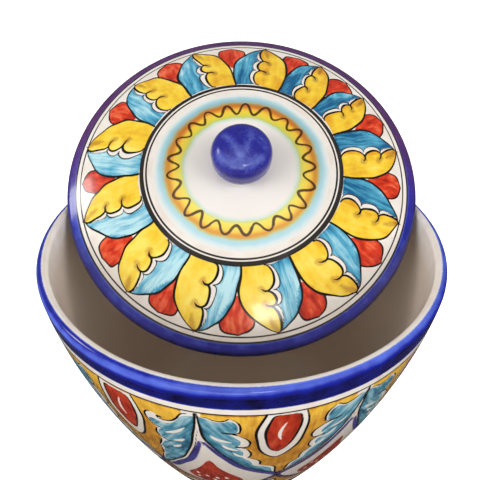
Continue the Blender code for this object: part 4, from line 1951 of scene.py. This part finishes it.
# The edges between the lid's petals, in degrees clockwise from the back.
PETAL_EDGES = (23.4, 45.4, 67.5, 95.0, 124.7, 154.1, 181.3, 208.4, 236.2, 266.9, 298.8, 328.5, 356.0)
# Where the knob's cobalt is pale, partly thin brushwork and partly a painted highlight on the top and
# round the front of the shoulder: a line on its top in millimetres, half its width, and how much paler.
KNOB_DABS_AND_HIGHLIGHT = (
    (((-8.0, 5.0), (-4.5, 1.0), (-1.5, -6.0)), 1.4, 0.36),
    (((5.0, 8.0), (3.6, 1.0), (0.5, -6.0)), 1.4, 0.34),
    (((-11.0, -4.5), (-7.0, -8.5), (2.0, -10.5), (9.0, -6.5)), 1.6, 0.5),
    (((9.0, 5.0), (11.0, -1.0)), 1.2, 0.24),
)


@dataclass
class Leaning:
    """How the lid leans: its back raised, its rolled edge down on both sides of the mouth."""

    tilt: float = 33.7

    def middle(self, lid: PaintedLid) -> Vector:
        """Finds the middle of the lid's edge plane from the box of the cover.

        Args:
            lid: The cover.

        Returns:
            The middle in metres.
        """
        low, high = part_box("lid_cover")
        lean = math.radians(self.tilt)
        back = low.y + (lid.edge_middle * math.cos(lean) + lid.edge) * MM
        height = low.z + (lid.edge_middle * math.sin(lean) + lid.edge) * MM
        return Vector(((low.x + high.x) / 2, back, height))

    def lean(self, piece: Object, lid: PaintedLid) -> None:
        """Tilts a level piece of the lid into place, and keeps its place in its mesh.

        Args:
            piece: The piece.
            lid: The cover.
        """
        activate(piece)
        piece.rotation_euler = (math.radians(self.tilt), 0.0, 0.0)
        piece.location = self.middle(lid)
        bpy.ops.object.transform_apply(location=True, rotation=True, scale=True)


@dataclass(frozen=True)
class Lamp:
    """One soft lamp: where it hangs, its size in metres, its power in watts, and what it does."""

    name: str
    place: tuple[float, float, float]
    size: tuple[float, float]
    power: float
    lights: bool = True
    shines: bool = True


@dataclass
class Studio:
    """A pale floor and soft light from above, with a window to the left, and the photograph's camera.

    The floor lies floor_drop under the jar, and the window's sheen on it fades in over window_reach.
    """

    camera_place: tuple[float, float, float] = (-0.0008, -0.19988, 0.28847)
    camera_pitch: float = 53.82
    lens: float = 36.0
    sensor: float = 36.0
    aim: tuple[float, float, float] = (0.0, 0.0, 0.12)
    white: tuple[float, float, float, float] = (1.0, 1.0, 1.0, 1.0)
    paper: str = "#f4f3f1"
    paper_roughness: float = 0.9
    floor_size: float = 6.0
    floor_drop: float = 0.0002
    room: str = "#2b2420"
    sheen: str = "#73767c"
    floor_sheen: str = "#383634"
    window_sheen: str = "#868fa8"
    window_reach: tuple[float, float] = (-0.16, -0.34)
    floor_glow: float = 0.8
    floor_fade: tuple[float, float] = (0.5, 1.4)
    lamps: tuple[Lamp, ...] = (
        Lamp("overhead_lamp", (0.0, -0.87, 0.85), (3.0, 0.6), 9.3, shines=False),
        Lamp("left_lamp", (-1.25, -0.3, 0.65), (2.2, 0.6), 20.0, shines=False),
        Lamp("right_lamp", (1.25, -0.3, 0.65), (2.2, 0.6), 18.5, shines=False),
        Lamp("back_lamp", (0.0, 0.9, 1.1), (1.6, 0.8), 4.5, shines=False),
        Lamp("ceiling_shine", (-0.05, -0.4, 1.3), (0.8, 0.5), 0.9, lights=False),
        Lamp("front_shine", (0.19, -1.03, 0.92), (0.2, 0.16), 1.1, lights=False),
        Lamp("window_shine", (-1.05, 0.0, 0.9), (0.2, 0.34), 1.6, lights=False),
        Lamp("low_shine", (-0.3, -1.2, 0.53), (0.9, 0.3), 1.6, lights=False),
    )

    def set_camera(self) -> None:
        """Sets the photograph's camera."""
        lens = bpy.data.cameras.new("camera")
        lens.lens = self.lens
        lens.sensor_width = self.sensor
        lens.clip_start = 0.01
        camera = bpy.data.objects.new("camera", lens)
        camera.location = self.camera_place
        camera.rotation_euler = (math.radians(self.camera_pitch), 0.0, 0.0)
        bpy.context.scene.collection.objects.link(camera)
        bpy.context.scene.camera = camera

    def set_lamps(self) -> None:
        """Hangs the lamps, each turned to the jar."""
        aim = Vector(self.aim)
        for design in self.lamps:
            lamp = bpy.data.lights.new(design.name, "AREA")
            lamp.shape = "RECTANGLE"
            lamp.size, lamp.size_y = design.size
            lamp.energy = design.power
            piece = bpy.data.objects.new(design.name, lamp)
            piece.location = design.place
            piece.rotation_euler = (aim - Vector(design.place)).to_track_quat("-Z", "Y").to_euler()
            piece.visible_camera = False
            piece.visible_diffuse = design.lights
            piece.visible_glossy = design.shines
            bpy.context.scene.collection.objects.link(piece)

    def set_world(self) -> None:
        """Sets a dim warm room, which is white to the camera and grey in reflections."""
        world = bpy.data.worlds.new("white_room")
        bpy.context.scene.world = world
        world.use_nodes = True
        tree = world.node_tree
        path = add(tree, "LightPath")
        light = blend(tree, color(self.room), color(self.sheen), path.outputs["Is Glossy Ray"])
        light = blend(tree, light, self.white, path.outputs["Is Camera Ray"])
        tree.links.new(light, tree.nodes["Background"].inputs["Color"])

    def set_floor(self) -> Object:
        """Lays the pale floor, white to the camera, which keeps the jar's shadow.

        Returns:
            The floor.
        """
        deselect()
        bpy.ops.mesh.primitive_plane_add(size=self.floor_size, location=(0.0, 0.0, -self.floor_drop))
        floor = bpy.context.object
        floor.name = "floor"
        material, tree, shader = new_material("pale_floor")
        shader.inputs["Base Color"].default_value = color(self.paper)
        shader.inputs["Roughness"].default_value = self.paper_roughness
        shader.inputs["Specular IOR Level"].default_value = 0.0
        shader.inputs["Emission Color"].default_value = self.white
        path = add(tree, "LightPath")
        spot = add(tree, "TexCoord").outputs["Object"]
        away = add(tree, "VectorMath", {0: spot}, operation="LENGTH").outputs["Value"]
        lit = add(tree, "MapRange", {"Value": away, "From Min": self.floor_fade[0],
                                     "From Max": self.floor_fade[1], "To Min": self.floor_glow})
        glow = add(tree, "Math", {0: path.outputs["Is Camera Ray"], 1: lit.outputs["Result"]},
                   operation="MULTIPLY")
        tree.links.new(glow.outputs[0], shader.inputs["Emission Strength"])
        across = add(tree, "SeparateXYZ", {"Vector": spot}).outputs["X"]
        daylight = add(tree, "MapRange", {"Value": across, "From Min": self.window_reach[0],
                                          "From Max": self.window_reach[1]})
        table = blend(tree, color(self.floor_sheen), color(self.window_sheen), daylight.outputs["Result"])
        sheen = add(tree, "Emission", {"Color": table})
        mix = add(tree, "MixShader", {0: path.outputs["Is Glossy Ray"], 1: shader.outputs[0],
                                      2: sheen.outputs[0]})
        tree.links.new(mix.outputs[0], tree.nodes["Material Output"].inputs["Surface"])
        floor.data.materials.append(material)
        return floor


def dress(
    piece: Object, maker: PaintedPot | PaintedLid | LocatingRing | Knob, glaze: Material, fine: bool
) -> None:
    """Paints a piece, fine where its lines are fine, and gives it its glaze.

    Args:
        piece: The piece, lying level with its axis on Z.
        maker: What knows its painting.
        glaze: Its glaze.
        fine: Whether the mesh is cut finer along the ink lines.
    """
    if fine:
        draft = maker.paint(places_of(piece))
        lines = np.maximum(draft.depth(Paint.INK), draft.depth(Paint.BROWN))
        touches = np.abs(draft.depth(Paint.TOUCH))
        refine(piece, (lines > -LINE_MARGIN) | (touches < TOUCH_MARGIN))
    places = places_of(piece)
    sheet = maker.paint(places)
    keep_values(piece, "place", places)
    keep_values(piece, "flow", sheet.flow)
    keep_values(piece, "tone", sheet.tone)
    keep_values(piece, "ring", sheet.ring)
    for paint in Paint:
        keep_values(piece, paint.value, sheet.depth(paint))
    piece.data.materials.append(glaze)
    smooth_shade(piece)
    LOG.info("%s: %d faces", piece.name, len(piece.data.polygons))


def wipe_foot(piece: Object, clay: Material, height: float) -> None:
    """Leaves a level piece's foot bare of glaze, as potters do so that it doesn't stick in the kiln.

    Args:
        piece: The piece, lying level with its axis on Z.
        clay: The bare clay.
        height: How high above its lowest point the glaze was wiped off, in millimetres.
    """
    piece.data.materials.append(clay)
    heights = places_of(piece)[:, 2]
    bare = heights < heights.min() + height
    for face in piece.data.polygons:
        face.material_index = int(all(bare[corner] for corner in face.vertices))


def main() -> None:
    """Builds, dresses and stages the jar."""
    logging.basicConfig(level=logging.INFO)
    view = bpy.context.scene.view_settings
    view.view_transform = "Standard"
    studio = Studio()
    studio.set_camera()
    studio.set_lamps()
    studio.set_world()
    studio.set_floor()

    pot = PaintedPot()
    pot_piece = pot.build()
    dress(pot_piece, pot, POT_GLAZE.dress(), fine=True)
    clay = BareClay().dress()
    wipe_foot(pot_piece, clay, pot.bare_height)
    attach(pot_piece, "jar")
    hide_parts("jar_body")

    lid = PaintedLid()
    leaning = Leaning()
    lid_piece = lid.build()
    dress(lid_piece, lid, LID_GLAZE.dress(), fine=True)
    locating_ring = LocatingRing()
    ring_piece = locating_ring.build(pot, lid)
    dress(ring_piece, locating_ring, PLAIN_GLAZE.dress(), fine=False)
    wipe_foot(ring_piece, clay, locating_ring.bare_height)
    knob = Knob()
    knob_piece = knob.build(lid)
    dress(knob_piece, knob, CobaltGlaze().dress(), fine=False)
    for piece, node, slot in (
        (lid_piece, "lid_cover", "lid_glaze"),
        (ring_piece, "lid_flange", "white_glaze"),
        (knob_piece, "lid_knob", "cobalt_glaze"),
    ):
        leaning.lean(piece, lid)
        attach(piece, "lid")
        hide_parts(node)


if __name__ == "__main__":
    main()
